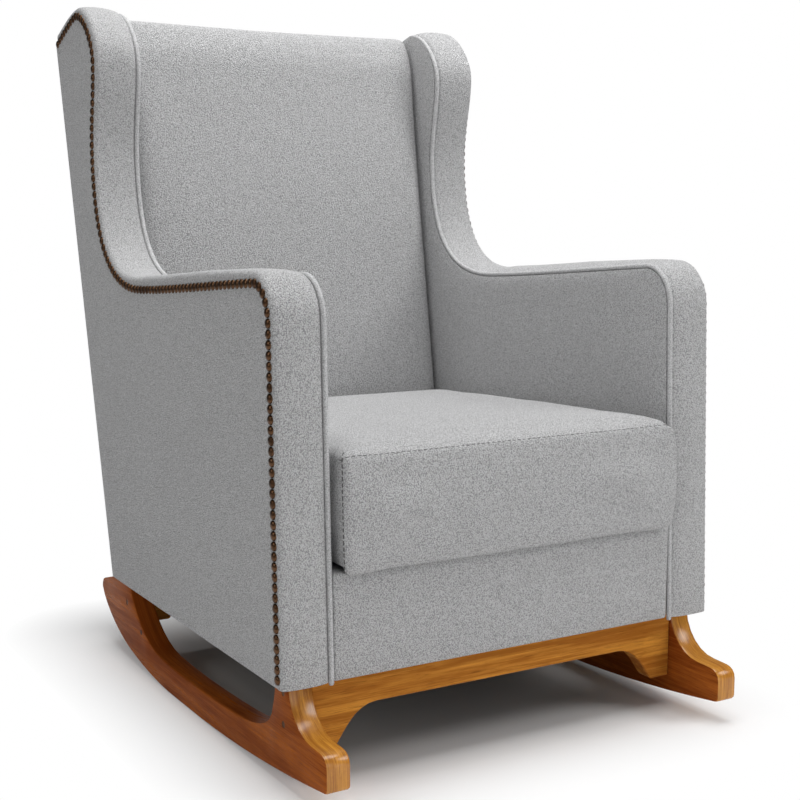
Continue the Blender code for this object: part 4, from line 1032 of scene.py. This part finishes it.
def make_back_pad():
    """The back's padding, bulged in the middle and rounded off at its top and sides."""
    low_z = seat_z(face_y(SEAT_HEIGHT)) + 0.002
    high_z = BACK_PAD_TOP

    def shape_point(point, half):
        z = (low_z + high_z) / 2 + point.z
        u, w = point.x / half.x, point.z / half.z
        v = 0.5 - 0.5 * point.y / half.y
        front = face_y(z)
        rear = post_y(z) - PAD_REAR_GAP
        shift = -PAD_BULGE * (1 - u * u) * math.cos(w * math.pi / 2) ** 2
        shift += PAD_TOP_FALL * max(0.0, (w - PAD_TOP_FROM) / PAD_TOP_RUN) ** 2
        inner = PAD_ROUND - min(half.x - abs(point.x), PAD_ROUND)
        shift += 0.8 * (PAD_ROUND - math.sqrt(max(0.0, PAD_ROUND ** 2 - inner ** 2)))
        y = rear + (front + shift - rear) * v
        return Vector((point.x, y - (front + rear) / 2, point.z))

    low = (-PAD_HALF, -PAD_DEPTH / 2, low_z)
    high = (PAD_HALF, PAD_DEPTH / 2, high_z)
    mesh = rounded_box("back_pad_cover", low, high, spacing=0.012, edge=0.008,
                       shape_point=shape_point)
    # shape_point leaves y as a distance from the pad's middle, which leans with the back
    for vert in mesh.vertices:
        vert.co.y += (face_y(vert.co.z) + post_y(vert.co.z) - PAD_REAR_GAP) / 2
    mesh = inflate(mesh, "back_pad_cover", voxel=0.0075, pressure=2.0, cap=0.004)
    for vert in mesh.vertices:
        x = max(-PAD_HALF, min(PAD_HALF, vert.co.x))
        vert.co = at(x, min(vert.co.y, post_y(vert.co.z) - 0.0035), vert.co.z)
    piece = finish_piece("back_pad_cover", mesh, WOOL, "chair", ["inner_back_pad"])


def flat_cover(name, low, high, edge, spacing, out, swell, material, node, place):
    """A rounded box as a cover, swelled on the side that out, as (axis, sign), points to."""
    axis, sign = out

    def shape_point(point, half):
        room = min(half[other] - abs(point[other]) for other in range(3) if other != axis)
        if point[axis] * sign > 0:
            point = point.copy()
            point[axis] += sign * swell * (1 - math.exp(-max(room, 0.0) / 0.03))
        return point

    mesh = rounded_box(name, low, high, spacing, edge, shape_point)
    mesh.transform(place)
    return finish_piece(name, mesh, material, "chair", [node], 60.0)


def make_flat_covers():
    apron = flat_cover("apron_cover_fabric", (-ARM_INNER + 0.0004, -0.001, -HEM_DROP),
                       (ARM_INNER - 0.0004, 0.0100, SEAT_HEIGHT - 0.0012), edge=0.004,
                       spacing=0.012, out=(1, -1), swell=0.002, material=WOOL,
                       node="apron_cover", place=Matrix.Translation(ORIGIN))
    deck = flat_cover("seat_deck_lining", (-ARM_INNER + 0.0006, 0.0115, -0.0175),
                      (ARM_INNER - 0.0006, 0.583, -0.0004), edge=0.003,
                      spacing=0.02, out=(2, 1), swell=0.0, material=DECK_WOOL,
                      node="seat_deck", place=SEAT_PLACE)

    slope = (BACK_TOP[0] - BACK_FOOT_Y) / BACK_TOP[1]
    lean = math.atan(slope)
    height = (BACK_TOP[1] + 0.0030) / math.cos(lean)
    back_place = Matrix.Translation(at(0.0, BACK_FOOT_Y, 0.0)) @ Matrix.Rotation(-lean, 4, 'X')
    flat_cover("outer_back_cover", (-ARM_OUTER + 0.0006, -0.0038, 0.0012),
               (ARM_OUTER - 0.0006, 0.0, height), edge=0.0018,
               spacing=0.012, out=(1, 1), swell=0.0018, material=WOOL,
               node="outer_back_panel", place=back_place)


TOP_COVER_STEPS = 60
TOP_COVER_SKIN = 0.0045     # from the back's rear face to the top cover's


def make_top_cover():
    half = ARM_INNER - 0.0005
    low_z = BACK_TOP[1] - 0.0155
    rear_top = BACK_TOP[1] - 0.003
    front_top = BACK_PAD_TOP - 0.0095
    start = (rear_y(rear_top) - TOP_COVER_SKIN, rear_top)
    end = (post_y(front_top) + 0.0003, front_top)
    profile = [(post_y(low_z), low_z), (rear_y(low_z) - TOP_COVER_SKIN, low_z)]
    profile += bend(start, 120.0, 0.25, end, 195.0, 0.35, 12) + [Vector(end)]
    rows = [[at(-half + 2 * half * i / TOP_COVER_STEPS, *point) for point in profile]
            for i in range(TOP_COVER_STEPS + 1)]
    mesh = mesh_from_grid("back_top_fabric", rows, closed_rows=True, ends=True)
    finish_piece("back_top_fabric", mesh, WOOL, "chair", ["back_top_cover"], 50.0)


DUST_STEPS = 40
DUST_SAG = 0.006
DUST_RIPPLE = 0.0006


def make_dust_cloth():
    """One flat sheet stapled to the rails, which sags and ripples a little between them."""
    low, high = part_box("dust_cover")
    width, length = high[0] - low[0], high[1] - low[1]
    steps = [i / DUST_STEPS for i in range(DUST_STEPS + 1)]
    rows = []
    for v in steps:
        row = []
        for u in steps:
            sag = DUST_SAG * (4 * u * (1 - u) * 4 * v * (1 - v)) ** 0.6
            sag += DUST_RIPPLE * math.sin(37 * u) * math.sin(29 * v)
            row.append(Vector((low[0] + width * u, low[1] + length * v, high[2] - 0.0002 - sag)))
        rows.append(row)
    mesh = mesh_from_grid("black_dust_cloth", rows)
    mesh = baked_mesh(mesh, 'SOLIDIFY', thickness=0.0006, offset=0.0)
    cloth = finish_piece("black_dust_cloth", mesh, DUST_CLOTH, "chair",
                         ["dust_cover"])


# Nails

NAIL_SIDES = 14
NAIL_RINGS = ((1.0, -0.0006), (1.0, 0.0004), (0.93, 0.0013), (0.72, 0.0023), (0.40, 0.0030))
NAIL_TOP = 0.0033
NAIL_WOBBLE = 0.10
NAIL_FOOT = 0.006           # height of the first nail


def nail_dome():
    """One domed nail head, a few dozen faces, its foot in the XY plane."""
    rows = [[Vector((NAIL_RADIUS * share * x, NAIL_RADIUS * share * y, z))
             for x, y in circle(NAIL_SIDES)] for share, z in NAIL_RINGS]
    shape = bmesh.new()
    shape.from_mesh(mesh_from_grid("nail_rings", rows, closed_rows=True))
    verts = list(shape.verts)
    top = shape.verts.new((0.0, 0.0, NAIL_TOP))
    last = verts[-NAIL_SIDES:]
    for i in range(NAIL_SIDES):
        shape.faces.new((last[i], last[(i + 1) % NAIL_SIDES], top))
    shape.faces.new(verts[:NAIL_SIDES])
    bmesh.ops.recalc_face_normals(shape, faces=shape.faces)
    mesh = mesh_of(shape, "nail_head")
    mesh.shade_smooth()
    return mesh


def make_nails():
    for side, name in SIDES:
        route = [at(side * (ARM_OUTER + 0.0006), *point) for point in offset(PATH, -NAIL_INSET)
                 if point.y > NAIL_FOOT and point.x < rear_y(point.y) - NAIL_RADIUS - 0.001]
        mesh = row_of(name + "_nails", nail_dome(), route, (float(side), 0.0, 0.0), NAIL_PITCH,
                      BRONZE, NAIL_WOBBLE)
        finish_piece(name + "_nail_row", mesh, BRONZE, "chair",
                     [name + "_nail_trim"], 60.0)


# Wood and hardware

def smooth_copy(node, name, material):
    """A copy of a CAD node's mesh with its facets joined, so that its curves shade smoothly."""
    source = frame["nodes"][node]
    shape = bmesh.new()
    shape.from_mesh(source.data)
    shape.transform(source.matrix_world)
    bmesh.ops.remove_doubles(shape, verts=shape.verts, dist=0.00002)
    bmesh.ops.dissolve_limit(shape, angle_limit=math.radians(0.5), verts=shape.verts,
                             edges=shape.edges)
    return finish_piece(name, mesh_of(shape, name), material, "chair", [node], 32.0)


LEG_FRONT_END = FRONT_Y + LEG_FRONT_Y + 0.004
FLAT_FACE = 0.75            # a normal with more than this across the board is on its face


def mark_grain(mesh, fibre_place, edge_and_highlight_share):
    """Writes where each face corner is along the fibres, and how far its face takes the edge colour
    and lacquer; on the leg fronts that paler colour is partly a painted highlight.
    """
    places, edges = [], []
    for polygon in mesh.polygons:
        share = edge_and_highlight_share(polygon.center, polygon.normal)
        for index in polygon.vertices:
            places.extend(fibre_place(mesh.vertices[index].co, polygon.normal, share > 0.0))
            edges.append(share)
    mesh.attributes.new("grain", 'FLOAT_VECTOR', 'CORNER').data.foreach_set("vector", places)
    mesh.attributes.new("edge", 'FLOAT', 'CORNER').data.foreach_set("value", edges)


def on_leg_front(place, normal):
    return place.y < LEG_FRONT_END and normal.y < 0.6


def rocker_edge_and_highlight(place, normal):
    # sides and runners' tops take the darker face colour, partly painted shade; leg fronts take the
    # paler edge colour, partly a painted highlight
    if abs(normal.x) > FLAT_FACE:
        return 0.0
    return 1.0 if on_leg_front(place, normal) else 0.02


def rail_edge(place, normal):
    return 0.0 if abs(normal.y) > FLAT_FACE else 0.25


def rocker_fibres(place, normal, on_edge):
    """Along the board on its faces, and down the leg or along the runner on its edges."""
    if not on_edge:
        return (place.z, place.y + 0.25 * place.z, 0.4 * place.x)
    along = -place.y if on_leg_front(place, normal) else place.y
    return (place.x, along - place.z, 0.0)


def rail_fibres(place, normal, on_edge):
    return (place.z, place.x, 0.6 * place.y)


def make_wood():
    for name in ("left", "right"):
        rocker = smooth_copy(name + "_rocker", name + "_rocker_wood", ROCKER_WOOD)
        mark_grain(rocker.data, rocker_fibres, rocker_edge_and_highlight)
    for name in ("front", "rear"):
        rail = smooth_copy(name + "_cross_rail", name + "_cross_rail_wood", RAIL_WOOD)
        mark_grain(rail.data, rail_fibres, rail_edge)


FINISHES = {"frame_timber": TIMBER, "dowel_wood": PLUG_WOOD, "steel": ZINC,
            "spring_steel": SPRING_WIRE, "webbing": WEBBING, "honey_wood": ROCKER_WOOD,
            "bronze": BRONZE, "grey_wool": WOOL, "welt_wool": WELT_WOOL, "felt": DECK_WOOL,
            "dust_cloth": DUST_CLOTH}


def dress_nodes():
    slots = {part["node"]: part["material_slot"] for part in frame["record"]["subparts"]}
    for name, node in frame["nodes"].items():
        finish = BLACK_SCREW if name.endswith("_screw") else FINISHES[slots[name]]
        for holder in node.material_slots:
            holder.material = finish


set_camera()
set_light()
set_stage(floor_material())
dress_nodes()
make_wood()
make_bands()
make_welts()
make_side_covers()
make_flat_covers()
make_top_cover()
make_dust_cloth()
make_back_pad()
CUSHION = make_cushion()
make_stitches(CUSHION)
make_nails()
bpy.context.scene.view_settings.view_transform = 'Standard'
